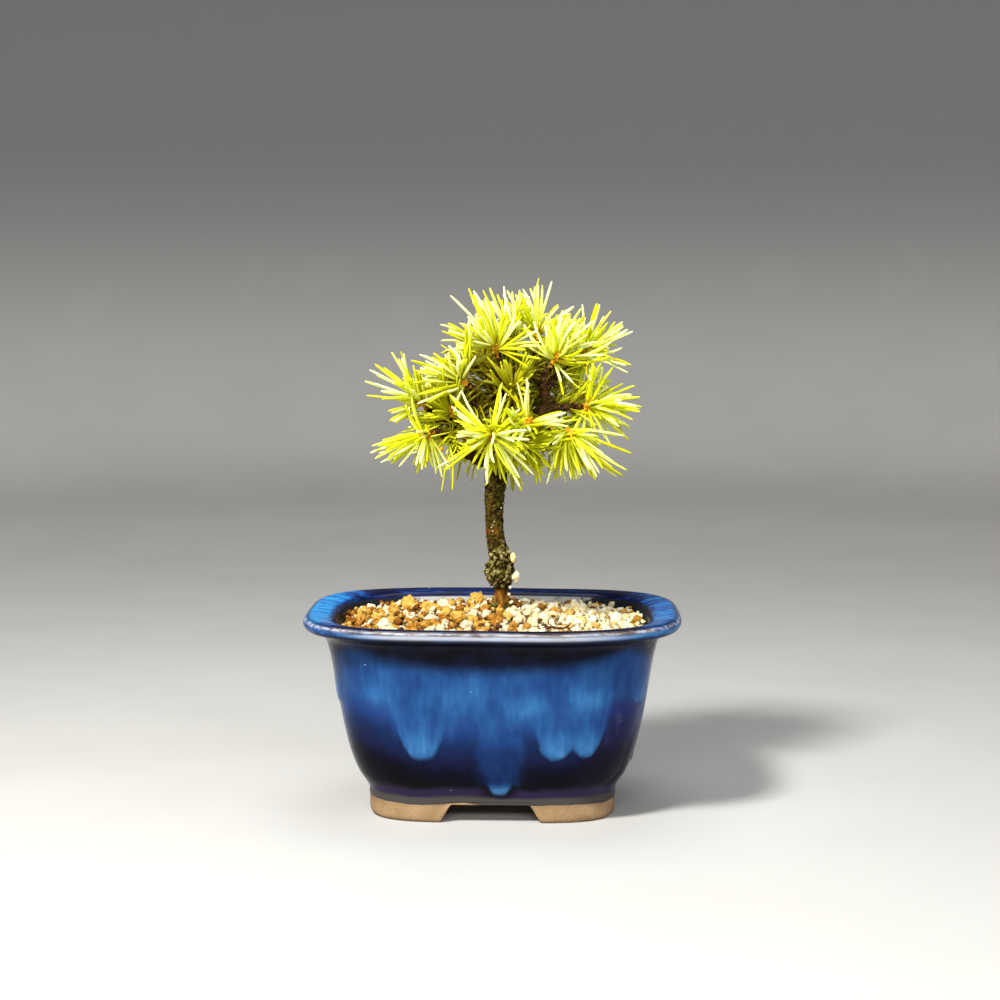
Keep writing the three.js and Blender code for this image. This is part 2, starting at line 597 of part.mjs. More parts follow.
function makeSpray(shoot, seed, others, wood) {
  const random = seeded(seed);
  const forward = unit(shoot.toward);
  const across = new THREE.Vector3(0.3, 0.5, -0.8).cross(forward).normalize();
  const up = new THREE.Vector3().crossVectors(forward, across);
  const foot = new THREE.Vector3(...shoot.at);
  const onShoot = (out) => foot.clone().addScaledVector(forward, out);
  const core = [
    [0, SHOOT_RADIUS],
    [0.75 * SHOOT_LENGTH, 1.2 * SHOOT_RADIUS],
    [BUD_TIP, 0],
  ].map(([out, radius]) => [...onShoot(out), radius]);
  const solids = [limb(core, 5, 1)];
  const own = [[foot, onShoot(BUD_TIP)]];
  const count = Math.round(NEEDLES_EACH * shoot.full);
  for (let i = 0; i < count; i++) {
    const share = (i + 0.5) / count;
    const height = THREE.MathUtils.lerp(NEEDLES_FROM, SHOOT_LENGTH, share);
    for (let attempt = 0; attempt < TRIES; attempt++) {
      const loose = 0.1 + 0.05 * attempt;
      const turn = i * GOLDEN_ANGLE + loose * (random() - 0.5) * 2;
      const lean = THREE.MathUtils.lerp(FOOT_SPREAD, TIP_SPREAD, share ** 0.8) + loose * (random() - 0.5) * 2;
      const outward = across.clone().multiplyScalar(Math.cos(turn)).addScaledVector(up, Math.sin(turn));
      const way = forward.clone().multiplyScalar(Math.cos(lean)).addScaledVector(outward, Math.sin(lean));
      const root = onShoot(height).addScaledVector(outward, ROOT_OUT);
      const length = shoot.needle * THREE.MathUtils.lerp(...LENGTH_RANGE, random());
      const line = needleLine(root, way, forward, length, THREE.MathUtils.lerp(...BEND_RANGE, random()));
      if (!isClear(line, others, wood)) continue;
      solids.push(needle(line));
      own.push([line[0], line[1]], [line[1], line[2]]);
      break;
    }
  }
  others.push(...own);
  return joined(solids);
}

const tree = new THREE.Group();
const wood = woodStretches();
const shootLines = SHOOTS.map((shoot) => {
  const foot = new THREE.Vector3(...shoot.at);
  return [foot, foot.clone().addScaledVector(unit(shoot.toward), BUD_TIP)];
});
const placed = [];
SHOOTS.forEach((shoot, i) => {
  const otherShoots = shootLines.filter((_, k) => k > i);
  const others = [...placed, ...otherShoots];
  const before = others.length;
  const spray = makeSpray(shoot, 100 + i, others, wood);
  placed.push(...others.slice(before));
  tree.add(piece(`needles_${shoot.name}`, spray, "needles"));
});
tree.add(piece("trunk_and_branches", makeWood(), "bark"));

const drainage = new THREE.Group();
[-1, 1].forEach((side) => {
  const label = side < 0 ? "left" : "right";
  const screen = piece(`drain_screen_${label}`, makeScreen(), "screen");
  screen.position.z = FLOOR_TOP + GAP;
  const staple = piece(`screen_wire_${label}`, makeStaple(), "wire");
  staple.position.y = SCREEN_PITCH / 2;
  const set = new THREE.Group();
  set.position.x = side * DRAIN_X;
  set.add(screen, staple);
  drainage.add(set);
});

const soil = makeSoil();
const bonsai = new THREE.Group();
bonsai.add(piece("pot", makePot(), "glaze"));
bonsai.add(drainage);
bonsai.add(piece("soil_akadama", soil.bed, "akadama"));
bonsai.add(piece("soil_pumice", soil.topping, "pumice"));
bonsai.add(tree);

export default bonsai;
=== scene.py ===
# A young Japanese white pine in a small blue glazed pot, dressed round its fixed frame.
# Sizes are in millimetres in the frame's own axes, and MM turns them into metres.
import math

import bmesh
import bpy
import numpy as np
from mathutils import Matrix, Vector, noise


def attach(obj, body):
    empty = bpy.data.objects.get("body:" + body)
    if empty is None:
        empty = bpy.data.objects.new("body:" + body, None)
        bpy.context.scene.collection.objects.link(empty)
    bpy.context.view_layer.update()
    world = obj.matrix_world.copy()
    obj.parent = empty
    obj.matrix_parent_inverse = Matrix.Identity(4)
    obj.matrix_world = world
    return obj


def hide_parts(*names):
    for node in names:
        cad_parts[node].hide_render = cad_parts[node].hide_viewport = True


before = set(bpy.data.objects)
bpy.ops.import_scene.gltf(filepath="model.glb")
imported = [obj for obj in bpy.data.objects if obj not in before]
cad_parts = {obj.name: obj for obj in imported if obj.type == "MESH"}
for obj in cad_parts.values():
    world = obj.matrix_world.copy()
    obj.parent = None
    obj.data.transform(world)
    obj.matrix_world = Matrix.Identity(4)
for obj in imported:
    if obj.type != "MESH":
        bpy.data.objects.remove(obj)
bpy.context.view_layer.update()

# The pot. One stoneware piece, pressed to a rounded rectangle with a broad rolled lip and four corner
# feet. It was dipped in a dark blue glaze, and a paler one was poured over it and ran down in drips.
MM = 0.001
RIM_HALF_WIDTH = 55.4
RIM_HALF_DEPTH = 42.0
POT_HEIGHT = 58.2
DEPTH_SHARE = 0.82
FOOT_SHARPNESS = 4.0
RIM_SHARPNESS = 3.3
FLAT_FROM = 28.0
FOOT_HALF_WIDTH = 36.4
NOTCH_HEIGHT = 5.2
NOTCH_SPLAY = 3.2
FRONT_NOTCH_HALF = 11.3
SIDE_NOTCH_HALF = 7.6
UNDERSIDE = 6.4
FLOOR_TOP = 11.0
DRAIN_X = 17.0
DRAIN_RADIUS = 4.5
CLAY_LINE = 5.2
PLAN_RATIO = 1.34
INNERMOST = 0.6
PLACES_ROUND = 264

FOOT_RING = [(30.2, 6.4), (30.9, 2.4), (31.3, 0.5), (32.0, 0), (34.9, 0), (35.8, 0.3), (36.2, 1.2),
             (36.2, 4.7), (36.4, 5.5), (FOOT_HALF_WIDTH, 7.4)]
OUTER_WALL = [(FOOT_HALF_WIDTH, 7.4), (37.3, 9.2), (39.6, 12.9), (41.7, 18.2), (43.7, 26.3), (45.6, 36.3),
              (47.6, 47.6), (49.1, 52.1), (51.8, 54.1), (54.5, 54.9), (55.4, 56.3), (54.95, 57.5),
              (54.5, 58), (53.3, 58.4), (50.9, 58.2), (48.2, 57.6), (46.5, 56.4), (45.5, 54), (43.1, 42)]
INNER_WALL = [(43.1, 42), (38.9, 22.4), (34.6, 13.4), (29.6, FLOOR_TOP)]


def half_depth(half_width):
    flat = RIM_HALF_DEPTH - (RIM_HALF_WIDTH - FLAT_FROM) * DEPTH_SHARE
    leaned = RIM_HALF_DEPTH - (RIM_HALF_WIDTH - half_width) * DEPTH_SHARE
    return np.where(half_width >= FLAT_FROM, leaned, half_width * flat / FLAT_FROM)


def on_plan(half_width, z, turn, inset=0.0):
    """Places round the pot's plan at turns about its axis, for a wall's half width at a height."""
    power = 2 / (FOOT_SHARPNESS + (RIM_SHARPNESS - FOOT_SHARPNESS) * z / POT_HEIGHT)
    along, across = np.cos(turn), np.sin(turn)
    x = np.maximum(half_width - inset, 0) * np.sign(along) * abs(along) ** power
    y = np.maximum(half_depth(half_width) - inset, 0) * np.sign(across) * abs(across) ** power
    return np.stack(np.broadcast_arrays(x, y, z), -1)


def even_turns(count, finer=2.5, edge=2.4):
    """Turns that step evenly round the pot, and finer at the edges of the notches between its feet."""
    turns = np.linspace(0, math.tau, 20001)
    ring = on_plan(FOOT_HALF_WIDTH, 3.0, turns)
    middle = abs(ring[1:] + ring[:-1]) / 2
    off_front = middle[:, 0] - FRONT_NOTCH_HALF - NOTCH_SPLAY / 2
    off_side = middle[:, 1] - SIDE_NOTCH_HALF - NOTCH_SPLAY / 2
    off = np.where(middle[:, 1] > 20, off_front, off_side)
    step = np.linalg.norm(np.diff(ring, axis=0), axis=1) * (1 + finer * np.exp(-((off / edge) ** 2)))
    travelled = np.concatenate([[0], np.cumsum(step)])
    return np.interp(np.arange(count) / count * travelled[-1], travelled, turns)


def curve_through(points, steps):
    """Places on the smooth curve through points, with so many steps from each to the next."""
    points = np.asarray(points, float)
    reached = [2 * points[0] - points[1], *points, 2 * points[-1] - points[-2]]
    share = np.arange(steps)[:, None] / steps
    run = []
    for a, b, c, d in zip(reached, reached[1:], reached[2:], reached[3:]):
        ab, bc, cd = (np.linalg.norm((q - p)[:3]) ** 0.5 for p, q in ((a, b), (b, c), (c, d)))
        leave = ((b - a) / ab - (c - a) / (ab + bc) + (c - b) / bc) * bc
        arrive = ((c - b) / bc - (d - b) / (bc + cd) + (d - c) / cd) * bc
        bend = 3 * (c - b) - 2 * leave - arrive
        run.append(b + leave * share + bend * share**2 + (2 * (b - c) + leave + arrive) * share**3)
    return np.vstack([*run, points[-1]])


def evenly(run, step):
    """The same line with places about one step apart."""
    run = np.asarray(run, float)
    travelled = np.concatenate([[0], np.cumsum(np.linalg.norm(np.diff(run, axis=0), axis=1))])
    count = max(2, round(travelled[-1] / step) + 1)
    even = np.linspace(0, travelled[-1], count)
    return np.stack([np.interp(even, travelled, run[:, k]) for k in range(run.shape[1])], 1)


def smooth_step(value, low, high):
    share = np.clip((value - low) / (high - low), 0, 1)
    return share * share * (3 - 2 * share)


def skin_of(rings, columns):
    """Triangles over rings of places, closed at both ends by a middle place: first, rings, last."""
    row = np.arange(columns)
    after = (row + 1) % columns
    faces = [np.stack([np.zeros(columns, int), after + 1, row + 1], 1)]
    for i in range(rings - 1):
        low, high = 1 + i * columns, 1 + (i + 1) * columns
        faces.append(np.stack([low + row, low + after, high + after], 1))
        faces.append(np.stack([low + row, high + after, high + row], 1))
    last = 1 + rings * columns
    top = last - columns
    faces.append(np.stack([np.full(columns, last), top + row, top + after], 1))
    return np.vstack(faces)


def thing(name, places, faces, unit=MM):
    """An object in the scene from places in millimetres."""
    mesh = bpy.data.meshes.new(name)
    mesh.from_pydata((np.asarray(places) * unit).tolist(), [], np.asarray(faces).tolist())
    mesh.validate()
    mesh.shade_smooth()
    made = bpy.data.objects.new(name, mesh)
    bpy.context.scene.collection.objects.link(made)
    return made


def new_piece(name, places, faces, finish, slot, nodes=(), marks=None):
    """A piece of the object, with numbers marked on its places for its finish."""
    piece = thing(name, places, faces)
    for mark, values in (marks or {}).items():
        attribute = piece.data.attributes.new(mark, "FLOAT", "POINT")
        attribute.data.foreach_set("value", values.astype(np.float32))
    piece.data.materials.append(finish.material)
    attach(piece, "root")
    if nodes:
        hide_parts(*nodes)
    return piece


class Socket:
    """A socket of a finish. Python expressions on it add Math nodes."""

    def __init__(self, finish, socket):
        self.finish = finish
        self.socket = socket

    def math(self, operation, *values):
        return self.finish.node("Math", {"operation": operation}, dict(enumerate(values)))

    def __add__(self, other):
        return self.math("ADD", self, other)

    def __sub__(self, other):
        return self.math("SUBTRACT", self, other)

    def __rsub__(self, other):
        return self.math("SUBTRACT", other, self)

    def __mul__(self, other):
        return self.math("MULTIPLY", self, other)

    def most(self, other):
        return self.math("MAXIMUM", self, other)

    def rise(self, low, high):
        """0 below low, 1 above high and smooth between them."""
        settings = {"interpolation_type": "SMOOTHSTEP"}
        return self.finish.node("MapRange", settings, {"Value": self, "From Min": low, "From Max": high})

    __radd__ = __add__
    __rmul__ = __mul__


class Finish:
    """A material: a Principled shader with fixed values, and what varies over its surface."""

    def __init__(self, name, **fixed):
        self.material = bpy.data.materials.new(name)
        self.material.use_nodes = True
        self.tree = self.material.node_tree
        self.shader = self.tree.nodes["Principled BSDF"]
        for socket, value in fixed.items():
            self.shader.inputs[socket.replace("_", " ")].default_value = value
        metres = self.node("TexCoord", {}, {}, 3)
        self.place = self.node("VectorMath", {"operation": "SCALE"}, {0: metres, 3: 1 / MM})

    def node(self, kind, settings, sockets, out=0):
        node = self.tree.nodes.new("ShaderNode" + kind)
        for key, value in settings.items():
            if key == "stops":
                ramp = node.color_ramp
                while len(ramp.elements) < len(value):
                    ramp.elements.new(0)
                for element, (spot, colour) in zip(ramp.elements, value):
                    element.position = spot
                    element.color = (*colour, 1)
            else:
                setattr(node, key, value)
        for key, value in sockets.items():
            if isinstance(value, Socket):
                self.tree.links.new(value.socket, node.inputs[key])
            elif isinstance(value, tuple) and len(node.inputs[key].default_value) == 4:
                node.inputs[key].default_value = (*value, 1)
            else:
                node.inputs[key].default_value = value
        return Socket(self, node.outputs[out])

    def axis(self, index):
        return self.node("SeparateXYZ", {}, {0: self.place}, index)

    def mark(self, name):
        return self.node("Attribute", {"attribute_name": name}, {}, 2)

    def stretched(self, x, y, z):
        return self.node("VectorMath", {"operation": "MULTIPLY"}, {0: self.place, 1: (x, y, z)})

    def grain(self, size, where=None, detail=3.0, rough=0.5):
        """Noise from 0 to 1 whose lumps are about a size across."""
        sockets = {"Vector": where or self.place, "Scale": 1 / size, "Detail": detail, "Roughness": rough}
        return self.node("TexNoise", {}, sockets)

    def mix(self, share, first, second):
        return self.node("Mix", {"data_type": "RGBA"}, {0: share, 6: first, 7: second}, 2)

    def ramp(self, value, *stops):
        return self.node("ValToRGB", {"stops": stops}, {0: value})

    def paint(self, **sockets):
        for socket, value in sockets.items():
            self.tree.links.new(value.socket, self.shader.inputs[socket.replace("_", " ")])

    def relief(self, height, depth):
        """Fine relief of a depth in millimetres, too fine for the mesh."""
        bump = self.node("Bump", {}, {"Height": height, "Distance": depth * MM, "Strength": 1.0})
        self.paint(Normal=bump)


# Where the paler glaze ran. Each run: how far round the pot it is from the front's middle, where 1 is a
# corner and 8 the whole way, the height of its tip, its half width as a share of half the front, how high
# the glaze pooled in its tip, and how thin the film above the pool is, from 0 to 1.
RUNS = [
    (-0.455, 19.4, 0.19, 9, 0), (0.065, 8.4, 0.145, 3.2, 0.72), (0.455, 19.8, 0.19, 8, 0),
    (0.685, 20.3, 0.17, 7, 0), (1.36, 34, 0.17, 8, 0), (1.72, 14, 0.13, 3, 0.6), (2.2, 21, 0.15, 8, 0),
    (2.62, 12.5, 0.11, 2, 0.7),
    (3.2, 23, 0.15, 8, 0), (3.55, 13, 0.11, 3, 0.5), (3.84, 20, 0.13, 8, 0), (4.16, 9.6, 0.1, 2, 0.7),
    (4.52, 21, 0.16, 9, 0), (4.86, 16, 0.11, 3, 0.4), (5.32, 20, 0.17, 8, 0), (5.72, 12.5, 0.12, 2, 0.6),
    (6.1, 23, 0.16, 8, 0), (6.56, 34, 0.14, 6, 0)]
RUN_STEEPNESS = 2.8
RUN_RISE = 13
HALF_FRONT = 45.0
# The paler glaze's edge and the foot of the painted shade under the lip, both rising at the corners.
GLAZE_EDGE = 31.5
EDGE_CORNER_RISE = 7
LIP_SHADE_FROM = 46.4
LIP_SHADE_CORNER_RISE = 5.6
GLAZE_THICKNESS = 0.14
POOLED_THICKNESS = 0.38
UNDER_LIP = 53
LIP_RIDGE = (54.9, 57.6)
LIME_FROM = 56.6
WOBBLE = 0.35
WOBBLE_LENGTH = 38
BORE_SIDES = 64

# Paler clouds in the glaze: how far round, height, half width round and half height.
CLOUDS = [
    (-0.15, 38.5, 0.14, 5), (-0.8, 37, 0.16, 5), (0.26, 35, 0.16, 4), (0.62, 37, 0.2, 4), (1.5, 40, 0.2, 5),
    (2.5, 38, 0.2, 5), (3.3, 37, 0.15, 5), (4.3, 38, 0.2, 5), (4.7, 36, 0.15, 4), (5.5, 39, 0.2, 5),
    (6.5, 38, 0.2, 5)]


def round_the_pot(x, y):
    """How far round a place is from the front's middle: 1 at the right front corner, 8 all the way."""
    across, along = x / PLAN_RATIO, y
    most = np.maximum(np.maximum(abs(across), abs(along)), 1e-6)
    front_or_back = np.where(along < 0, across / most, 4 - across / most)
    side = np.where(across > 0, 2 + along / most, 6 - along / most)
    return np.where(abs(across) > abs(along), side, front_or_back)


def marks_of_glaze(places):
    """What the finish needs to know at each place on the pot's outside.

    run: the height above the paler glaze's lower edge. pool: how much of it pooled there. film: how
    thin it ran. cloud: the paler clouds. open: 1 below the painted shade under the lip. middle: 1 at
    the middle of each side.
    """
    spot, z = round_the_pot(places[:, 0], places[:, 1]), places[:, 2]
    from_corner = abs(spot % 2 - 1)
    run = z - GLAZE_EDGE - EDGE_CORNER_RISE * (1 - from_corner) ** 2
    pool, film, cloud = np.zeros((3, len(z)))
    for centre, tip, half, depth, thinness in RUNS:
        off = np.minimum(abs((spot - centre + 4) % 8 - 4) / half, 3)
        slope = RUN_STEEPNESS * RUN_RISE * off ** (RUN_STEEPNESS - 1) / (half * HALF_FRONT)
        run = np.maximum(run, (z - tip - RUN_RISE * off**RUN_STEEPNESS) / np.hypot(1, slope))
        from_tip = (z - tip) / depth
        pool = np.maximum(pool, np.exp(-((off / 0.95) ** 4) - ((from_tip - 0.35) / 0.75) ** 2))
        film = np.maximum(film, thinness * np.exp(-((off / 1.1) ** 4)) * smooth_step(z, 27, 20))
    for centre, height, half, tall in CLOUDS:
        off = ((spot - centre + 4) % 8 - 4) / half
        cloud = np.maximum(cloud, np.exp(-(off**2) - ((z - height) / tall) ** 2))
    # Painted shade under the lip: the wall is dark above this height, for the lip's shadow and the thinner
    # glaze there.
    lip_shade_from = LIP_SHADE_FROM + LIP_SHADE_CORNER_RISE * (1 - from_corner) ** 2
    below_lip_shade_share = smooth_step(z, lip_shade_from + 2.5, lip_shade_from - 3)
    middle = smooth_step(from_corner, 0.12, 0.55)
    return {"run": run, "pool": pool, "film": film, "cloud": cloud, "open": below_lip_shade_share, "middle": middle}


def pot_mesh():
    """The pot's places, its faces, and the marks that its finish goes by."""
    under = evenly([(INNERMOST, UNDERSIDE), FOOT_RING[0]], 3.0)
    foot = evenly(curve_through(FOOT_RING, 8), 0.55)
    outside = evenly(curve_through(OUTER_WALL, 12), 0.5)
    inside = evenly(curve_through(INNER_WALL, 8), 2.0)
    floor = evenly([INNER_WALL[-1], (INNERMOST, FLOOR_TOP)], 4.0)
    profile = np.vstack([under, foot[1:], outside[1:], inside[1:], floor[1:]])
    turns = even_turns(PLACES_ROUND)
    places = on_plan(profile[:, :1], profile[:, 1:], turns[None])
    x, y, z = places[..., 0], places[..., 1], places[..., 2]
    front = np.clip((FRONT_NOTCH_HALF + NOTCH_SPLAY - abs(x)) / NOTCH_SPLAY, 0, 1) * (abs(y) > 15)
    side = np.clip((SIDE_NOTCH_HALF + NOTCH_SPLAY - abs(y)) / NOTCH_SPLAY, 0, 1) * (abs(x) > 25)
    open_share = np.maximum(front, side)
    lift = NOTCH_HEIGHT * (0.75 * open_share + 0.25 * smooth_step(open_share, 0, 1))
    z = np.where(z < UNDERSIDE, lift + z * (UNDERSIDE - lift) / UNDERSIDE, z)
    from_start = np.broadcast_to(np.arange(len(profile))[:, None], z.shape).ravel()
    places = np.stack([x, y, z], -1).reshape(-1, 3)
    first_outside, past_outside = len(under) + len(foot) - 2, len(under) + len(foot) + len(outside) - 2
    top_of_lip = first_outside + int(np.argmax(outside[:, 1]))
    ridge_row = first_outside + int(np.argmin(np.linalg.norm(outside - LIP_RIDGE, axis=1)))
    outer = (from_start > first_outside) & (from_start <= top_of_lip)
    marks = marks_of_glaze(places)
    on_wall = outer & (places[:, 2] < UNDER_LIP)
    thick = (GLAZE_THICKNESS + POOLED_THICKNESS * marks["pool"]) * smooth_step(marks["run"], -0.6, 1.2)
    grown = 1 + thick * on_wall / np.maximum(np.hypot(places[:, 0], places[:, 1]), 1)
    spots = places[:, :2] / WOBBLE_LENGTH
    wobble = WOBBLE * np.array([noise.noise(Vector((*spot, 7.1))) for spot in spots])
    places[:, 2] += wobble * smooth_step(places[:, 2], 35, 58)
    places[:, :2] *= grown[:, None]
    inner = from_start > top_of_lip + 3
    # Bands along the lip: the worn ridge, painted shade in the crease beside it, and a painted highlight
    # along the rolled outer face.
    for mark, past_ridge, width in (("ridge", 0, 0.9), ("crease", 2.2, 1.3), ("roll", -2.5, 1.1)):
        marks[mark] = np.exp(-(((from_start - ridge_row - past_ridge) / width) ** 2))
    marks["inside"] = (inner & (places[:, 2] < LIME_FROM)) | (from_start >= past_outside)
    marks["under"] = from_start <= len(under)
    ends = np.array([(0, 0, UNDERSIDE), (0, 0, FLOOR_TOP)])
    places = np.vstack([ends[:1], places, ends[1:]])
    for mark, values in marks.items():
        marks[mark] = np.concatenate([values[:1], values, values[-1:]]) * 1.0
    return places, skin_of(len(profile), len(turns)), marks


def glaze_finish():
    glaze = Finish("blue_drip_glaze", IOR=1.42, Specular_IOR_Level=0.1)
    x, y, z = glaze.axis(0), glaze.axis(1), glaze.axis(2)
    run, pool, film, cloud = (glaze.mark(mark) for mark in ("run", "pool", "film", "cloud"))
    streak = glaze.grain(1.0, glaze.stretched(0.55, 0.55, 0.1), 3.0, 0.5)
    broad = glaze.grain(1.0, glaze.stretched(0.2, 0.2, 0.06), 2.0)
    mottle = glaze.grain(7.0, glaze.stretched(1, 1, 0.8), 4.0, 0.55)
    wisp = glaze.grain(11.0, None, 4.0, 0.7)

    middle = glaze.mark("middle")
    depth = z * 0.045 - 0.72 + middle * 0.24 + (mottle - 0.5) * 0.3
    body = glaze.ramp(
        depth, (0, (0.0008, 0.0006, 0.002)), (0.22, (0.0014, 0.0014, 0.009)), (0.4, (0.004, 0.007, 0.034)),
        (0.6, (0.004, 0.014, 0.062)), (0.82, (0.008, 0.033, 0.135)), (1, (0.013, 0.052, 0.18)))
    violet = (wisp * 1.6 - middle * 0.9 + x * 0.012 - 0.1).rise(0.2, 0.8)
    violet_shade = glaze.mix(depth.rise(0.1, 0.9), (0.006, 0.004, 0.014), (0.014, 0.013, 0.085))
    body = glaze.mix(violet * 0.6, body, violet_shade)
    body = glaze.mix(wisp.rise(0.58, 0.75) * depth.rise(0.2, 0.6) * 0.3, body, (0.075, 0.07, 0.16))

    edge = run + (streak - 0.5) * 0.8 + (broad - 0.5) * 2.4
    soft = edge.rise(-2.8, 3.0)
    over = soft + (edge.rise(-0.6, 1.0) - soft) * pool.rise(0.08, 0.4)
    glow = pool * 0.36 + z.rise(14, 9) * pool * 0.2 + cloud * 0.3
    grainy = (streak - 0.5) * 0.4 + (mottle - 0.5) * 0.6 + (broad - 0.5) * 0.5
    tone = 0.48 + grainy + glow - film * 0.3 * (1 - pool)
    paler = glaze.ramp(
        tone, (0.1, (0.004, 0.016, 0.08)), (0.4, (0.008, 0.036, 0.14)), (0.62, (0.014, 0.066, 0.205)),
        (0.85, (0.026, 0.112, 0.285)), (1, (0.05, 0.17, 0.38)))
    paler = glaze.mix(x.rise(34, 48) * 0.6, paler, (0.017, 0.044, 0.17))
    paler = glaze.mix(x.rise(-34, -46) * 0.5, paler, (0.016, 0.038, 0.1))
    film_cover = 1 - film * (1 - pool) * 0.5
    colour = glaze.mix(over * film_cover, body, paler)
    # Painted shade under the lip, over the thinner, darker glaze there.
    lip_shadow = glaze.mix(mottle.rise(0.4, 0.7), (0.0015, 0.0015, 0.006), (0.004, 0.006, 0.022))
    colour = glaze.mix(glaze.mark("open"), lip_shadow, colour)

    # The lip's ends are paler cerulean glaze, and their top face is brighter still, most at the left: a
    # painted highlight of the lights above.
    ends = (x * x).rise(1400, 2500) * (y + 4).rise(-38, -24)
    lit_top_face = z.rise(56.9, 57.8)
    lip_noise = glaze.grain(1.0, glaze.stretched(0.1, 0.42, 0.8), 4.0, 0.65)
    lip_tone = lip_noise * 1.05 + ends * (lit_top_face * (0.38 - x * 0.0014) + (1 - lit_top_face) * 0.14) - 0.26
    lip = glaze.ramp(lip_tone, (0.2, (0.003, 0.004, 0.02)), (0.36, (0.005, 0.014, 0.075)),
                     (0.54, (0.008, 0.066, 0.26)), (0.82, (0.018, 0.25, 0.6)))
    colour = glaze.mix(z.rise(54.8, 55.9), colour, lip)
    # Painted highlight of the front light along the lip's rolled outer face, whitish at the front and blue
    # toward the ends, where the glaze also breaks paler; weaker at the far left.
    roll = glaze.mark("roll") * (wisp * 0.5 + lip_noise * 0.5).rise(0.25, 0.5)
    rim_highlight_tint = glaze.mix((x * x).rise(400, 2000), (0.46, 0.49, 0.55), (0.05, 0.2, 0.44))
    colour = glaze.mix(roll * (0.8 - x.rise(-34, -47) * 0.6), colour, rim_highlight_tint)
    # Painted shade in the crease between the lip's top and its rolled outer face.
    colour = glaze.mix(glaze.mark("crease") * 0.85, colour, (0.004, 0.004, 0.009))
    # Worn glaze along the lip's ridge: brownish where worn, and its whitish grey also a painted highlight
    # along the edge.
    worn_and_highlight = glaze.mark("ridge") * (mottle * 0.6 + wisp * 0.5).rise(0.3, 0.6)
    worn_and_highlight_tint = glaze.mix(lip_noise.rise(0.42, 0.58), (0.14, 0.1, 0.065), (0.44, 0.43, 0.44))
    colour = glaze.mix(worn_and_highlight * 0.8, colour, worn_and_highlight_tint)

    seam = z + (glaze.grain(14.0, None, 2.0) - 0.5) * 3.4
    colour = glaze.mix(seam.rise(11.5, 9.2) * 0.75 * (1 - pool), colour, (0.028, 0.02, 0.06))
    colour = glaze.mix(seam.rise(8.2, 7.0) * 0.9, colour, (0.05, 0.044, 0.038))
    fine = glaze.grain(0.5, None, 5.0, 0.65)
    bare = seam.rise(CLAY_LINE + 0.2, CLAY_LINE - 0.15).most(glaze.mark("under"))
    clay = glaze.ramp((fine + glaze.grain(6.0)) * 0.5, (0.3, (0.19, 0.115, 0.056)),
                      (0.5, (0.28, 0.18, 0.094)), (0.7, (0.37, 0.25, 0.14)))
    colour = glaze.mix(bare, colour, clay)
    inside = glaze.mark("inside")
    limed = glaze.grain(3.0, None, 5.0, 0.7) + (y - 22).rise(0, 9) * 0.36 - (x * x).rise(400, 1150) * 0.4
    lime = limed.rise(0.55, 0.8)
    wall = glaze.mix(lime, (0.012, 0.014, 0.017), (0.32, 0.32, 0.31))
    colour = glaze.mix(inside, colour, glaze.mix(z.rise(30, 45), (0.3, 0.22, 0.14), wall))

    cell = {"Vector": glaze.place, "Scale": 0.2}
    near = glaze.node("TexVoronoi", {}, cell)
    chance = glaze.node("SeparateColor", {}, {0: glaze.node("TexVoronoi", {}, cell, 1)})
    speck = near.rise(0.045, 0.025) * chance.rise(0.6, 0.62) * (1 - bare)
    colour = glaze.mix(speck * 0.85, colour, (0.62, 0.64, 0.66))
    dull = bare * 0.68 + inside * (0.2 + lime * 0.4) + seam.rise(8.2, 7.0) * 0.2 * (1 - bare) + speck * 0.3
    glaze.paint(Base_Color=colour, Roughness=0.12 + dull + mottle * 0.08 + worn_and_highlight * 0.15)
    glaze.relief(bare * fine * 0.9 + (1 - bare) * glaze.grain(2.6, None, 1.0) * 0.22, 0.15)
    return glaze


def bored(piece, x, radius, low, high):
    """Cuts a round hole down through a piece."""
    bore = thing("bore", [], [])
    form = bmesh.new()
    middle = Matrix.Translation((x * MM, 0, (low + high) / 2 * MM))
    bmesh.ops.create_cone(form, cap_ends=True, segments=BORE_SIDES, radius1=radius * MM, radius2=radius * MM,
                          depth=(high - low) * MM, matrix=middle)
    form.to_mesh(bore.data)
    form.free()
    cut = piece.modifiers.new("bore", "BOOLEAN")
    cut.object = bore
    bpy.context.view_layer.update()
    piece.data = bpy.data.meshes.new_from_object(piece.evaluated_get(bpy.context.evaluated_depsgraph_get()))
    piece.modifiers.clear()
    bpy.data.objects.remove(bore)


places, faces, marks = pot_mesh()
pot = new_piece("glazed_pot", places, faces, glaze_finish(), "glaze", ["pot"], marks)
for drain_x in (-DRAIN_X, DRAIN_X):
    bored(pot, drain_x, DRAIN_RADIUS, UNDERSIDE - 2, FLOOR_TOP + 2)

# The drain screens and their staples. A square of moulded plastic mesh lies over each drain hole, and a
# staple of soft brown wire holds it down: its legs pass through the hole and are bent out below.
GAP = 0.3
SCREEN_PITCH = 3.4
SCREEN_THICKNESS = 0.9
WIRE_RADIUS = 0.5
STAPLE_TAIL = 6.0
STAPLE_BEND = 1.0


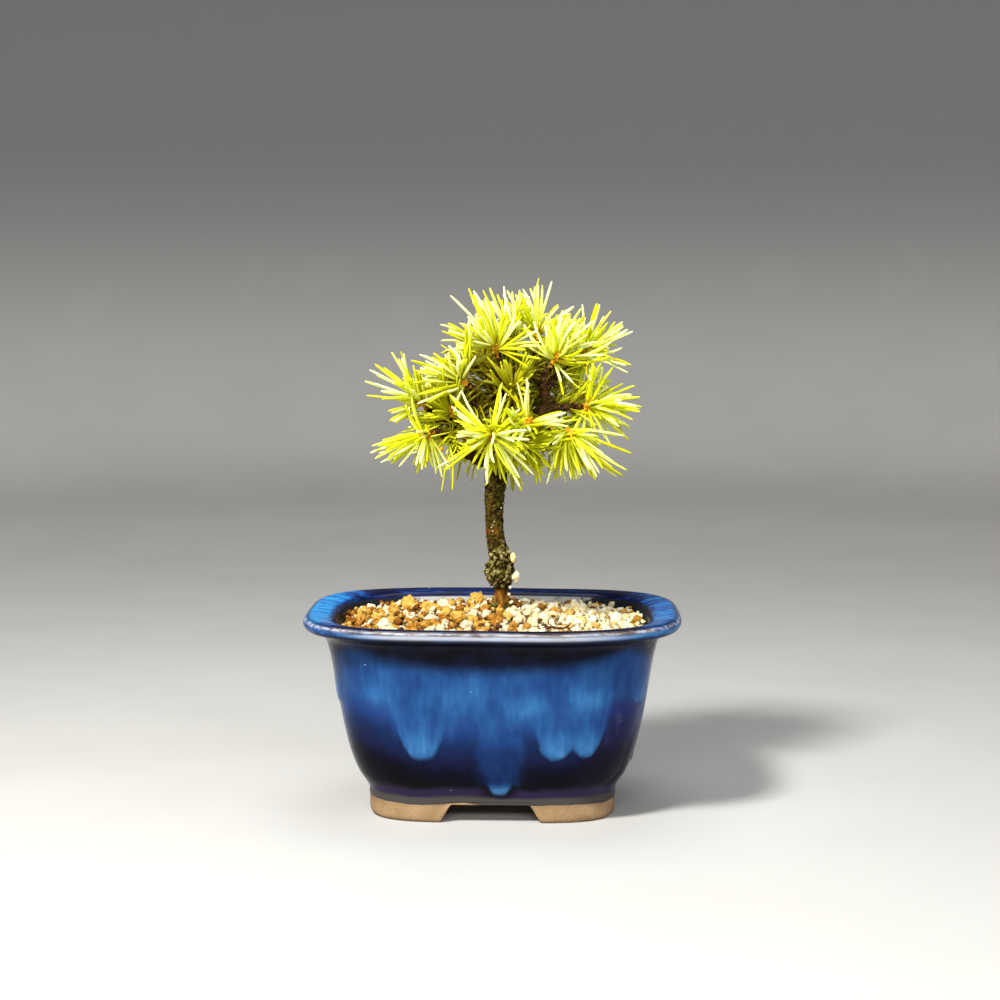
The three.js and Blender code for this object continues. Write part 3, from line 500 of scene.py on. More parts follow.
def tube(spine, radii, sides, side=(0.3, 0.5, -0.8), flatness=1.0):
    """A closed skin of rings along a spine, as wide as its radii and flattened across one side."""
    spine = np.asarray(spine, float)
    radii = np.broadcast_to(np.asarray(radii, float), len(spine))
    along = np.gradient(spine, axis=0)
    along /= np.linalg.norm(along, axis=1)[:, None]
    sides_at = np.empty_like(spine)
    across = np.asarray(side, float)
    for i, step in enumerate(along):
        across = across - step * (across @ step)
        across = across / np.linalg.norm(across)
        sides_at[i] = across
    ups = np.cross(along, sides_at) * flatness
    turn = np.arange(sides) / sides * math.tau
    ring = np.cos(turn)[None, :, None] * sides_at[:, None] + np.sin(turn)[None, :, None] * ups[:, None]
    rings = spine[:, None] + ring * radii[:, None, None]
    return np.vstack([spine[:1], rings.reshape(-1, 3), spine[-1:]]), skin_of(len(spine), sides)


def staple_route(x, leg=SCREEN_PITCH / 2, bend=STAPLE_BEND):
    over = FLOOR_TOP + 2 * GAP + SCREEN_THICKNESS + WIRE_RADIUS
    under = UNDERSIDE - GAP - WIRE_RADIUS
    half = [(leg + STAPLE_TAIL, under), (leg + bend, under), (leg, under + bend), (leg, over - bend),
            (leg - bend, over)]
    route = [(-out, z) for out, z in half] + half[::-1]
    return curve_through([(x + out, SCREEN_PITCH / 2, z) for out, z in route], 6)


plastic = Finish("black_moulded_mesh", IOR=1.45)
scuffed = plastic.grain(1.6, None, 4.0)
plastic_shade = plastic.ramp(scuffed, (0.3, (0.012, 0.012, 0.014)), (0.75, (0.05, 0.048, 0.045)))
plastic.paint(Base_Color=plastic_shade, Roughness=0.4 + scuffed * 0.35)
plastic.relief(plastic.grain(0.35), 0.04)
wire = Finish("brown_soft_wire", Metallic=1.0)
drawn = wire.grain(0.7, None, 4.0)
wire_shade = wire.ramp(drawn, (0.3, (0.16, 0.075, 0.035)), (0.7, (0.36, 0.2, 0.11)))
wire.paint(Base_Color=wire_shade, Roughness=0.28 + drawn * 0.3)
wire.relief(drawn, 0.03)
for label, side in (("left", -1), ("right", 1)):
    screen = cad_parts[f"drain_screen_{label}"]
    screen.data.materials.clear()
    screen.data.materials.append(plastic.material)
    route = staple_route(side * DRAIN_X)
    new_piece(f"staple_{label}", *tube(route, WIRE_RADIUS, 16), wire, "wire", [f"screen_wire_{label}"])

# The akadama. Baked clay grit in crumbling grains of 2 to 7 mm fills the pot and shows on its left half,
# with pale grains among it. A body of grit carries the loose grains that show.
SOIL_EDGE = 54.8
MOUND_RISE = 4.4
MOUND_SPREAD = 20.0
HEAP_RISE = 1.3
HEAP_X = -24
HEAP_Y = 10
HEAP_SPREAD_X = 14
HEAP_SPREAD_Y = 12
TRUNK_X = 2.5
LINE_X = 7.5
LINE_WAVE = 2.2
SOIL_HALF_WIDTH = 45.2
SOIL_HALF_DEPTH = 33.7
SOIL_RIM = 53.0
SOIL_INSET = 0.5
BULK_SINK = 2.6
STEM_AT_SOIL = 2.2


def soil_top(x, y):
    from_trunk = np.hypot(x - TRUNK_X, y) / MOUND_SPREAD
    from_heap = np.hypot((x - HEAP_X) / HEAP_SPREAD_X, (y - HEAP_Y) / HEAP_SPREAD_Y)
    return SOIL_EDGE + MOUND_RISE * np.exp(-(from_trunk**2)) + HEAP_RISE * np.exp(-(from_heap**2))


def joined(parts):
    """One set of places and faces from several."""
    places, faces, count = [], [], 0
    for more, skin in parts:
        places.append(more)
        faces.append(skin + count)
        count += len(more)
    return np.vstack(places), np.vstack(faces)


def ball(fineness):
    form = bmesh.new()
    bmesh.ops.create_icosphere(form, subdivisions=fineness, radius=1)
    places = np.array([v.co for v in form.verts])
    faces = np.array([[v.index for v in f.verts] for f in form.faces])
    form.free()
    return places, faces


BALLS = {fineness: ball(fineness) for fineness in (2, 3, 4)}


def grain_of_grit(random, centre, size, cuts, lumpiness, fineness, stretch=1):
    """A grain: a ball with flats broken off it, roughened, turned and stretched."""
    ways, faces = BALLS[fineness]
    flats = random.normal(size=(cuts, 3))
    flats /= np.linalg.norm(flats, axis=1)[:, None]
    reach = random.uniform(0.58, 0.95, cuts)
    near = (np.maximum(ways @ flats.T, 0) / reach) ** 40
    radius = (near.sum(1) + 0.35) ** (-1 / 40)
    shift = random.uniform(0, 50, 3)
    rough = np.array([noise.fractal(Vector(w * 2.1 + shift), 0.5, 2.3, 5) for w in ways])
    turn = np.linalg.qr(random.normal(size=(3, 3)))[0]
    if np.linalg.det(turn) < 0:
        turn[:, 0] = -turn[:, 0]
    sides = random.uniform([0.95, 0.72, 0.58], [1.2, 1.0, 0.85])
    shape = (ways * (radius * (1 + lumpiness * rough))[:, None] * sides) @ turn.T
    return centre + shape * stretch * size / 2, faces


def scattered(random, room, tries, sizes, spacing, found=()):
    """Spots (x, y, size) in a room on the soil, after those found, none nearer than their sizes allow."""
    found = np.array(found, float).reshape(-1, 3)
    for _ in range(tries):
        x, y = random.uniform(-45, 45), random.uniform(-34, 34)
        size = sizes[0] + (sizes[1] - sizes[0]) * random.random() ** 1.4
        if not room(x, y, size):
            continue
        apart = np.hypot(found[:, 0] - x, found[:, 1] - y)
        if np.all(apart > spacing * (found[:, 2] + size) / 2):
            found = np.vstack([found, (x, y, size)])
    return found


def in_pot(x, y, size):
    """Whether a grain of a size lies clear of the pot's wall and of the stem."""
    reach = abs(x / (SOIL_HALF_WIDTH + 0.1 - size / 2)), abs(y / (SOIL_HALF_DEPTH - size / 2))
    inside = reach[0] ** 3.4 + reach[1] ** 3.4 < 1
    return inside and math.hypot(x - TRUNK_X, y) > STEM_AT_SOIL + size * 0.42


def pale_side(x, y):
    return x > LINE_X + LINE_WAVE * math.sin(y / 6)


def soil_bulk():
    """The body of grit under the grains, from the pot's floor up to a little below its top."""
    low = FLOOR_TOP + GAP
    spots = [spot for spot in INNER_WALL[::-1] if spot[1] > low]
    profile = evenly([(INNERMOST, low), *spots, (SOIL_HALF_WIDTH, SOIL_RIM - 0.5)], 2.5)
    turns = even_turns(96, 0)
    sides = on_plan(profile[:, :1], profile[:, 1:], turns[None], SOIL_INSET)
    edge = on_plan(np.array(SOIL_HALF_WIDTH), SOIL_RIM, turns, SOIL_INSET)
    top = edge * np.linspace(1, 0.02, 16)[:, None, None]
    top[..., 2] = soil_top(top[..., 0], top[..., 1]) - BULK_SINK
    ends = np.array([(0, 0, low), (0, 0, soil_top(0, 0) - BULK_SINK)])
    places = np.vstack([ends[:1], sides.reshape(-1, 3), top.reshape(-1, 3), ends[1:]])
    return places, skin_of(len(sides) + len(top), len(turns))


def layer(random, spots, sink, ruggedness):
    """The centres (x, y, z, size) of a layer of grains on the soil."""
    x, y, size = spots.T
    z = soil_top(x, y) - sink - 0.1 * size + random.uniform(-ruggedness, ruggedness, len(spots))
    return np.column_stack([x, y, z, size])


def crumbs_on(random, spots, grains):
    """The centres of small crumbs that came to rest on grains, or between them."""
    found = []
    for x, y, size in spots:
        off = np.hypot(grains[:, 0] - x, grains[:, 1] - y)
        reach = grains[:, 3] * 0.4
        under = grains[:, 2] + np.sqrt(np.maximum(reach**2 - off**2, 0)) * 0.9
        rest = np.where(off < reach, under, -np.inf).max()
        found.append((x, y, max(rest, soil_top(x, y) - 2) + size * 0.28, size))
    return np.array(found)


def grains_at(random, centres, cuts, lumpiness, fine_from=3.4):
    return [grain_of_grit(random, spot[:3], spot[3], cuts, lumpiness, 3 if spot[3] > fine_from else 2)
            for spot in centres]


def tones_of(grains, tones):
    return np.concatenate([np.full(len(places), tone) for (places, _), tone in zip(grains, tones)])


def marks_of_grit(grains, tones):
    """Each grain's own tone, and how low a place lies in the grit, where painted shade between the grains
    and damper grit make it darker.
    """
    places = np.vstack([grain for grain, _ in grains])
    low = smooth_step(places[:, 2] - soil_top(places[:, 0], places[:, 1]), 0.3, -2.2)
    return {"tone": tones_of(grains, tones), "low": low}


def grit_finish(name, pore_shade, low_shade, *stops):
    """A dull porous finish for grit, whose colour goes by each grain's own tone."""
    grit = Finish(name, IOR=1.3, Specular_IOR_Level=0.12)
    pores = grit.grain(0.5, None, 5.0, 0.7)
    blotch = grit.grain(1.5, None, 3.0)
    colour = grit.ramp(grit.mark("tone") + (blotch - 0.5) * 0.25 + (pores - 0.5) * 0.35, *stops)
    # Painted shade in the pores: the colour there is multiplied by pore_shade.
    multiply = {"data_type": "RGBA", "blend_type": "MULTIPLY"}
    deep = grit.node("Mix", multiply, {0: 1.0, 6: colour, 7: pore_shade}, 2)
    colour = grit.mix(pores.rise(0.52, 0.38) * 0.8, colour, deep)
    # Painted shade low between the grains, with the damper grit there: lower places go toward low_shade.
    colour = grit.mix(grit.mark("low") * 0.7, colour, low_shade)
    grit.paint(Base_Color=colour, Roughness=0.75 + pores * 0.2)
    grit.relief(pores + blotch * 0.8, 0.9)
    return grit


LARGE_BROWN = [(-25.9, 18, 7), (-5.1, 5.4, 6.8), (-39, 4.6, 5.8), (-33.4, -2, 5.6), (-13.6, 14, 5.4),
               (-9.8, -9.5, 5), (-30, 9, 5.4), (-19, 8, 5.6)]
LARGE_CREAM = [(-17.6, -7.3, 6.2), (-31, -12, 5), (-1.5, -8.5, 4.6), (-24.5, -2.5, 4.6), (-12.5, 3.5, 3.8)]
DARK_SHARE = 0.28
CREAM_SHARE = 0.24
draw = np.random.default_rng(11)


def brown_room(x, y, size):
    return in_pot(x, y, size) and not pale_side(x, y)


large = [*LARGE_BROWN, *LARGE_CREAM]
brown_top = layer(draw, scattered(draw, brown_room, 5200, (1.9, 5.0), 0.8, large), 0, 0.7)
brown_low = np.vstack([
    layer(draw, scattered(draw, brown_room, 2600, (2.2, 3.8), 0.74), sink, 0.3) for sink in (1.3, 2.4)])
brown_crumbs = crumbs_on(draw, scattered(draw, brown_room, 620, (0.6, 1.7), 1.1), brown_top)
brown_grains = (grains_at(draw, brown_top, 10, 0.34, 2.4) + grains_at(draw, brown_low, 9, 0.25, 9)
                + grains_at(draw, brown_crumbs, 8, 0.12))
brown_tones = draw.uniform(0.3, 0.78, len(brown_grains))
dark_ones = draw.random(len(brown_grains)) < DARK_SHARE
brown_tones[dark_ones] = draw.uniform(0.0, 0.28, dark_ones.sum())
brown_tones[draw.random(len(brown_grains)) < CREAM_SHARE] = 0.95
brown_tones[: len(LARGE_BROWN)] = draw.uniform(0.5, 0.7, len(LARGE_BROWN))
brown_tones[len(LARGE_BROWN): len(large)] = 0.97
brown_parts = [soil_bulk(), *brown_grains]
akadama = grit_finish(
    "akadama_grit", (0.45, 0.28, 0.14), (0.09, 0.03, 0.005), (0, (0.09, 0.026, 0.005)),
    (0.22, (0.32, 0.12, 0.018)), (0.45, (0.6, 0.29, 0.04)), (0.72, (0.86, 0.55, 0.12)),
    (0.84, (0.95, 0.76, 0.36)), (1, (0.98, 0.93, 0.7)))
new_piece("akadama_grit", *joined(brown_parts), akadama, "akadama", ["soil_akadama"],
          marks_of_grit(brown_parts, [0.15, *brown_tones]))

# The pumice. Angular cream chips of 2 to 5 mm cover the right half of the soil, with a few brown grains.
draw = np.random.default_rng(23)


def pale_room(x, y, size):
    return in_pot(x, y, size) and pale_side(x, y)


LARGE_PALE = [(12, -12, 5.2), (26, -9, 4.8)]
BROWN_SHARE = 0.24
DARK_CRUMB_SHARE = 0.35
pale_top = layer(draw, scattered(draw, pale_room, 5200, (1.7, 4.7), 0.8, LARGE_PALE), 0, 0.7)
pale_low = np.vstack([
    layer(draw, scattered(draw, pale_room, 2600, (2.0, 3.6), 0.72), sink, 0.3) for sink in (1.2, 2.2)])
pale_crumbs = crumbs_on(draw, scattered(draw, pale_room, 620, (0.6, 1.6), 1.1), pale_top)
pale_grains = (grains_at(draw, pale_top, 12, 0.15, 2.4) + grains_at(draw, pale_low, 10, 0.14, 9)
               + grains_at(draw, pale_crumbs, 7, 0.1))
pale_tones = draw.uniform(0.6, 1.0, len(pale_grains))
brown_ones = draw.random(len(pale_grains)) < BROWN_SHARE
pale_tones[brown_ones] = draw.uniform(0.05, 0.55, brown_ones.sum())
dark_crumbs = np.flatnonzero(draw.random(len(pale_crumbs)) < DARK_CRUMB_SHARE) - len(pale_crumbs)
pale_tones[dark_crumbs] = draw.uniform(0.0, 0.35, len(dark_crumbs))
pumice = grit_finish(
    "pumice_grit", (0.8, 0.6, 0.34), (0.38, 0.2, 0.035), (0, (0.14, 0.055, 0.01)),
    (0.22, (0.46, 0.23, 0.035)), (0.4, (0.84, 0.56, 0.16)), (0.55, (0.96, 0.79, 0.38)),
    (0.75, (0.99, 0.91, 0.61)), (1, (1, 0.97, 0.82)))
pale_marks = marks_of_grit(pale_grains, pale_tones)
new_piece("pumice_grit", *joined(pale_grains), pumice, "pumice", ["soil_pumice"], pale_marks)

# The wood. One grown piece: roots, the peeled foot of the trunk, the graft in its thick crust of bark and
# lichen, the scaly trunk, five boughs and a twig to each shoot.
TRUNK = [
    (2.4, 0.2, 40, 1.2), (2.5, 0, 49, 2.4), (2.5, 0, 57, 3), (2.5, 0, 60.4, 2.2), (2.4, 0, 62.8, 1.75),
    (2.4, 0, 65.2, 2.6), (2.1, 0, 68.2, 4.3), (2.2, 0, 71.4, 3.9), (2.1, 0, 73.8, 3.5), (1.4, 0, 76, 2.9),
    (0.5, 0, 81, 2.65), (0.3, 0, 87, 2.7), (0.5, 0, 93, 3), (0.9, 0, 98.5, 3.3), (1.8, -0.5, 103.5, 3.7),
    (2.9, -1, 108, 3)]
BOUGHS = [
    [(0.6, -1, 100.5, 2.1), (-6, -2.4, 104, 1.8), (-12, -4, 107, 1.4)],
    [(1.8, -1, 104, 2.4), (-3, -2, 108.5, 2), (-8.1, -3, 112, 1.6), (-15.8, -4, 115, 1.2)],
    [(2.9, -1, 106, 2.6), (8, -2, 111, 2.2), (12.5, -3, 115, 1.9), (16.2, -4, 118.9, 1.6)],
    [(2.9, -1, 106, 2.5), (3.2, -0.5, 112, 2.1), (2.7, -1, 119, 1.7)],
    [(2.6, 0.5, 105, 2.3), (3.5, 4.5, 109.5, 1.9), (5, 10, 112.5, 1.5)],
]
ROOT_AZIMUTHS = [20, 95, 160, 235, 305]
ROOT_SHARE = 0.8
GOLDEN_ANGLE = math.radians(137.508)
SHOOT_RADIUS = 0.9
SHOOT_LENGTH = 3.6

# Each shoot: its name, where its needles start, the way it points, its needles' length, how full it is,
# and the twig that carries it, as points of x, y, z and radius.
SHOOTS = [
    ("front_low", (0.8, -19.4, 110.8), (-0.25, -0.9, 0.35), 16.5, 1.15,
     [(1.6, -3, 104.5, 1.8), (1.2, -10, 107, 1.4), (0.9, -15, 109.4, 1.1)]),
    ("front_right", (9.4, -17, 113.2), (0.45, -0.6, 0.65), 14.5, 1.0,
     [(2.2, -5, 106, 1.5), (6, -10, 109, 1.2), (8.4, -14, 111.4, 1)]),
    ("left_outer", (-20, -3.6, 118.8), (-0.62, -0.3, 0.68), 13, 1.15,
     [(-13, -3.6, 114, 1.3), (-16.8, -3.6, 115.6, 1)]),
    ("left_lower", (-18, -7, 111), (-0.87, -0.3, -0.35), 13, 0.95,
     [(-10.6, -3.4, 106.4, 1.4), (-14, -5.4, 110, 1.1)]),
    ("left_upper", (-7, -10.5, 125.2), (-0.72, -0.35, 0.5), 14.5, 1.15,
     [(-3, -2, 108.5, 1.5), (-4.6, -4, 114, 1.3), (-5.8, -8, 120.5, 1)]),
    ("left_middle", (-11, -6.5, 115.6), (-0.3, -0.5, 0.75), 12, 0.7,
     [(-8, -3, 112, 1.2), (-9.6, -5, 113.6, 1)]),
    ("top_left", (1.4, -6, 134), (-0.35, -0.2, 0.9), 14.5, 1.15,
     [(2.7, -1, 118, 1.5), (2.3, -3, 125, 1.2), (1.9, -5, 130.5, 1)]),
    ("top_middle", (13, 5, 137.4), (-0.05, 0.05, 1), 13.5, 1.15,
     [(2.8, -0.8, 117.5, 1.5), (7.5, 1.2, 124, 1.3), (11.6, 3.8, 131.5, 1.05)]),
    ("top_right", (17.4, -4.4, 131.2), (0.4, -0.35, 0.8), 14.5, 1.15,
     [(16.2, -4, 117.6, 1.6), (14.9, -3.6, 123.5, 1.4), (15.2, -3.4, 128, 1.15)]),
    ("right_upper", (25, 5, 133), (0.9, 0.05, 0.35), 14.5, 1.1,
     [(14.9, -3.4, 123, 1.3), (18.6, 0, 127.5, 1.1), (22, 3.2, 131, 1)]),
    ("right_middle", (26.4, -2.6, 118.6), (0.97, -0.2, 0.05), 14, 1.15,
     [(15.8, -3.8, 118, 1.5), (20.5, -3.6, 118.2, 1.25), (23.6, -3, 118.7, 1.05)]),
    ("right_lower", (21, -6.6, 112.4), (0.6, -0.3, -0.7), 15.5, 1.1,
     [(12, -3, 114.4, 1.4), (15.6, -5, 114.4, 1.2), (18.8, -6.2, 113.8, 1)]),
    ("under_right", (8.4, -6.8, 107.6), (0.85, -0.35, -0.1), 11, 0.7,
     [(3.4, -2.4, 105, 1.4), (6.2, -5, 106.8, 1)]),
    ("centre", (5.6, -8.6, 121.4), (0.1, -0.6, 0.75), 11.5, 0.8,
     [(3.1, -1, 112.5, 1.3), (4.6, -4.6, 117.6, 1)]),
    ("centre_left", (-1.6, 3, 126.4), (-0.35, 0.1, 0.9), 12.5, 0.8,
     [(2.7, -0.8, 117, 1.3), (0.4, 1.4, 122, 1)]),
    ("top_back_left", (-2.6, 13, 132.2), (-0.4, 0.6, 0.7), 14.5, 1.1,
     [(2.7, -0.6, 118, 1.4), (1.6, 5, 124, 1.2), (-0.6, 10, 129, 1)]),
    ("top_back_right", (18.6, 15, 131), (0.3, 0.6, 0.75), 14.5, 1.1,
     [(6.6, 1, 122.8, 1.4), (12, 7.5, 126, 1.2), (16.4, 12.4, 129, 1)]),
    ("back_left", (-13.4, 12.6, 119.4), (-0.7, 0.6, 0.4), 14, 1.1,
     [(-4, -1.6, 109.4, 1.4), (-7.4, 4, 112.6, 1.2), (-11, 9.4, 116.8, 1)]),
    ("back_right", (24.2, 12, 120.4), (0.75, 0.6, 0.2), 14, 1.1,
     [(15.8, -3.6, 118.2, 1.4), (18.6, 3, 118.6, 1.2), (22, 8.8, 119.6, 1)]),
    ("back_middle", (6.6, 19, 119.6), (0, 0.85, 0.5), 15, 1.1,
     [(4.6, 8.6, 112, 1.4), (6, 13, 114.6, 1.2), (6.6, 16.4, 117, 1)]),
    ("back_low_left", (-8.2, 13.4, 108.6), (-0.65, 0.7, -0.15), 14.5, 1.0,
     [(2, 2, 103.6, 1.6), (-2, 7, 106, 1.3), (-5.6, 11, 107.6, 1)]),
    ("back_low_right", (16.4, 13.6, 110), (0.65, 0.65, -0.3), 14.5, 1.0,
     [(4.8, 9.6, 112, 1.4), (9.6, 11.6, 111, 1.2), (13.4, 12.8, 110.4, 1)]),
    ("back_low_middle", (4.2, 20, 109.4), (-0.1, 0.9, -0.2), 14, 0.9,
     [(4.6, 9, 111.8, 1.3), (4.6, 14, 110.4, 1.1), (4.4, 17, 109.8, 1)]),
    ("top_centre", (6, 4.6, 135.6), (-0.1, 0.1, 1), 14, 1.0,
     [(2.8, -0.6, 119, 1.4), (4, 1.4, 126, 1.2), (5.4, 3.4, 131.4, 1)]),
]


def unit(way):
    return np.asarray(way, float) / np.linalg.norm(way)


def twig_points(at, toward, twig):
    run = [np.array(at) - unit(toward) * back for back in (GAP + 1.6, GAP - 0.6)]
    return [*twig, *((*spot, SHOOT_RADIUS) for spot in run)]


def root_points(azimuth, i):
    turn = math.radians(azimuth)
    along = [(0, 54.5, 1.5), (6, 53, 1.3), (14, 46 - i, 1), (21, 34 + i, 0.6)]
    return [(TRUNK_X + math.cos(turn) * out, math.sin(turn) * ROOT_SHARE * out, z, radius)
            for out, z, radius in along]


def limb(points, steps, sides):
    run = curve_through(points, steps)
    return tube(run[:, :3], run[:, 3], sides)


def fused(parts, pitch):
    """One closed skin round overlapping parts, with places about a pitch apart, and its outward ways."""
    rough = thing("overlapping", *joined(parts), 1)
    remesh = rough.modifiers.new("one skin", "REMESH")
    remesh.mode = "VOXEL"
    remesh.voxel_size = pitch
    relax = rough.modifiers.new("relax", "SMOOTH")
    relax.factor = 0.5
    relax.iterations = 2
    bpy.context.view_layer.update()
    skin = bpy.data.meshes.new_from_object(rough.evaluated_get(bpy.context.evaluated_depsgraph_get()))
    found = np.array([v.co for v in skin.vertices])
    outward = np.array([v.normal for v in skin.vertices])
    corners = np.array([list(p.vertices) for p in skin.polygons])
    bpy.data.objects.remove(rough)
    bpy.data.meshes.remove(skin)
    return found, corners, outward


WOOD_PITCH = 0.32
GRAFT_X = 2.0
KNOBS = 42
LARGE_KNOBS = (((-1.9, -1.4, 69.6), 3.2), ((5.2, -1.0, 73.2), 3.0), ((5.4, -0.6, 67.6), 3.4))
# The spurs of bark below the graft: the way each points, in degrees, and how thick it is.
SPURS = ((188, 1.0), (-8, 1.1), (60, 0.8), (115, 0.9), (232, 0.55), (-50, 0.5))
SPUR = ((1.7, 62.6, 0.4), (2.3, 60.6, 0.6), (3.0, 58.4, 0.85), (4.6, 55.5, 1.1))
draw = np.random.default_rng(5)
knobs = []
for i in range(KNOBS):
    share = (i + draw.random()) / KNOBS
    out = 1.9 + 1.7 * math.sin(math.pi * share) ** 0.7
    turn = i * GOLDEN_ANGLE
    spot = (GRAFT_X + out * math.cos(turn), out * math.sin(turn), 64.4 + 11.2 * share)
    knobs.append(grain_of_grit(draw, spot, draw.uniform(1.6, 2.9), 8, 0.25, 2))
knobs += [grain_of_grit(draw, spot, size, 8, 0.25, 2) for spot, size in LARGE_KNOBS]
spurs = []
for azimuth, thickness in SPURS:
    way = np.array([math.cos(math.radians(azimuth)), math.sin(math.radians(azimuth)), 0])
    spur = [(*(way * out + (GRAFT_X + 0.4, 0, z)), radius * thickness) for out, z, radius in SPUR]
    spurs.append(limb(spur, 4, 10))
wood_parts = [limb(TRUNK, 4, 24), *(limb(root_points(a, i), 4, 10) for i, a in enumerate(ROOT_AZIMUTHS)),
              *(limb(points, 5, 14) for points in BOUGHS), *knobs, *spurs,
              *(limb(twig_points(at, toward, twig), 4, 10) for _, at, toward, _, _, twig in SHOOTS)]
wood, wood_faces, outward = fused(wood_parts, WOOD_PITCH)

trunk_line = curve_through(TRUNK, 6)
height = wood[:, 2]
centre = np.stack([np.interp(height, trunk_line[:, 2], trunk_line[:, k]) for k in (0, 1)], 1)
from_centre = np.hypot(*(wood[:, :2] - centre).T)
on_trunk = smooth_step(from_centre, 6.5, 4.6) * smooth_step(height, 109, 103)
crust = on_trunk * smooth_step(height, 64.2, 65.4) * smooth_step(height, 78.6, 75.0)
on_spur = on_trunk * smooth_step(height, 65.0, 63.8) * smooth_step(from_centre, 2.2, 2.7)
plain = on_trunk * smooth_step(height, 64.6, 63.6) * (1 - on_spur)
crust = np.maximum(crust, on_spur)
# How far a place faces left, for the painted light on the trunk's left side.
left = smooth_step((centre[:, 0] - wood[:, 0]) / np.maximum(from_centre, 1), 0.15, 1.0)


def lumps(places, size, depth=0.75):
    return np.array([noise.fractal(Vector(p / size), depth, 2.2, 5) for p in places])


def cells(places, size, stretch=(1, 1, 1)):
    """0 in the crevices between cells of a size and up to 1 on the cells' tops."""
    reach = (noise.voronoi(Vector(p))[0] for p in places / size / np.array(stretch))
    return np.array([min(1.0, far - near) for near, far, *_ in reach])


swirl = np.stack([lumps(wood + shift, 1.7) for shift in (0, 31, 67)], 1) * 0.5
rough = lumps(wood, 1.1)
crust_relief = 0.55 * smooth_step(cells(wood + swirl, 0.95), 0.0, 0.6) + 0.6 * rough - 0.3
scales = smooth_step(cells(wood + swirl * 0.6, 1.15, (1.5, 1.5, 0.75)), 0.0, 0.45)
scale_relief = 0.24 * scales + 0.22 * rough - 0.12
twig_scales = smooth_step(cells(wood + swirl * 0.4, 0.95, (1, 1, 0.85)), 0.0, 0.45)
twig_relief = 0.26 * twig_scales + 0.16 * rough - 0.12
relief = twig_relief + (scale_relief - twig_relief) * on_trunk
relief += (0.08 * rough - relief) * plain
relief += (crust_relief - relief) * crust
wood = wood + outward * relief[:, None]

bark = Finish("pine_bark", IOR=1.3, Specular_IOR_Level=0.12)
z = bark.axis(2)
relief_mark = bark.mark("relief")
fine = bark.grain(0.4, None, 5.0, 0.7)
scaly = bark.grain(1.0, bark.stretched(0.6, 0.6, 1.3), 4.0, 0.65)
blotch = bark.grain(4.5, None, 4.0, 0.6)
# Both bark ramps go darker in the low places of the relief and lighter on the scales: painted shade in the
# fissures between them.
twig_bark = bark.ramp(
    scaly + relief_mark * 0.7, (0.3, (0.01, 0.005, 0.002)), (0.5, (0.045, 0.022, 0.006)),
    (0.66, (0.12, 0.062, 0.018)), (0.85, (0.3, 0.17, 0.06)))
stem_tone = scaly * 0.45 + blotch * 0.55 + relief_mark * 0.8 - (z - 88).rise(2, 14) * 0.07
stem_bark = bark.ramp(
    stem_tone, (0.32, (0.008, 0.005, 0.001)), (0.44, (0.032, 0.022, 0.003)), (0.54, (0.066, 0.047, 0.006)),
    (0.66, (0.125, 0.098, 0.018)), (0.85, (0.27, 0.22, 0.075)))
# Painted light: the trunk's left side is warmer orange-brown where the key light falls.
lit_side_bark = bark.ramp(scaly, (0.3, (0.03, 0.014, 0.001)), (0.6, (0.1, 0.05, 0.004)), (0.8, (0.2, 0.11, 0.012)))
lit_side_share = bark.mark("left") * z.rise(98, 88) * (blotch * 1.5).rise(0.5, 1.0) * 0.8
stem_bark = bark.mix(lit_side_share, stem_bark, lit_side_bark)
rust = bark.grain(2.6).rise(0.5, 0.6) * z.rise(78, 81) * z.rise(91, 85)
stem_bark = bark.mix(rust * 0.55, stem_bark, (0.2, 0.07, 0.007))
colour = bark.mix(bark.mark("on_trunk"), twig_bark, stem_bark)
peeled = bark.ramp(
    bark.grain(1.0, bark.stretched(1.0, 1.0, 0.25), 4.0), (0.32, (0.07, 0.026, 0.003)),
    (0.52, (0.17, 0.072, 0.008)), (0.68, (0.3, 0.14, 0.02)))
colour = bark.mix(bark.mark("plain"), colour, peeled)
# The crust's grey-green lichen and brown bark go by the relief: painted shade in the crevices and a painted
# highlight on the lumps' tops.
lichen = bark.ramp(
    relief_mark * 0.7 + fine * 0.45 + blotch * 0.2 + 0.1, (0.14, (0.014, 0.009, 0.001)),
    (0.3, (0.045, 0.033, 0.004)), (0.43, (0.13, 0.106, 0.022)), (0.6, (0.3, 0.26, 0.1)),
    (0.85, (0.55, 0.48, 0.27)))
brown_crust = bark.mix(relief_mark.rise(0, 0.5), (0.03, 0.017, 0.003), (0.24, 0.15, 0.04))
lichen = bark.mix(bark.grain(3.4).rise(0.5, 0.68) * 0.5, lichen, brown_crust)
colour = bark.mix(bark.mark("crust"), colour, lichen)
bark.paint(Base_Color=colour, Roughness=0.66 + fine * 0.25)
bark.relief(fine + scaly * 0.8, 0.35)
new_piece("wood", wood, wood_faces, bark, "bark", ["trunk_and_branches"],
          {"crust": crust, "relief": relief, "plain": plain, "on_trunk": on_trunk, "left": left})

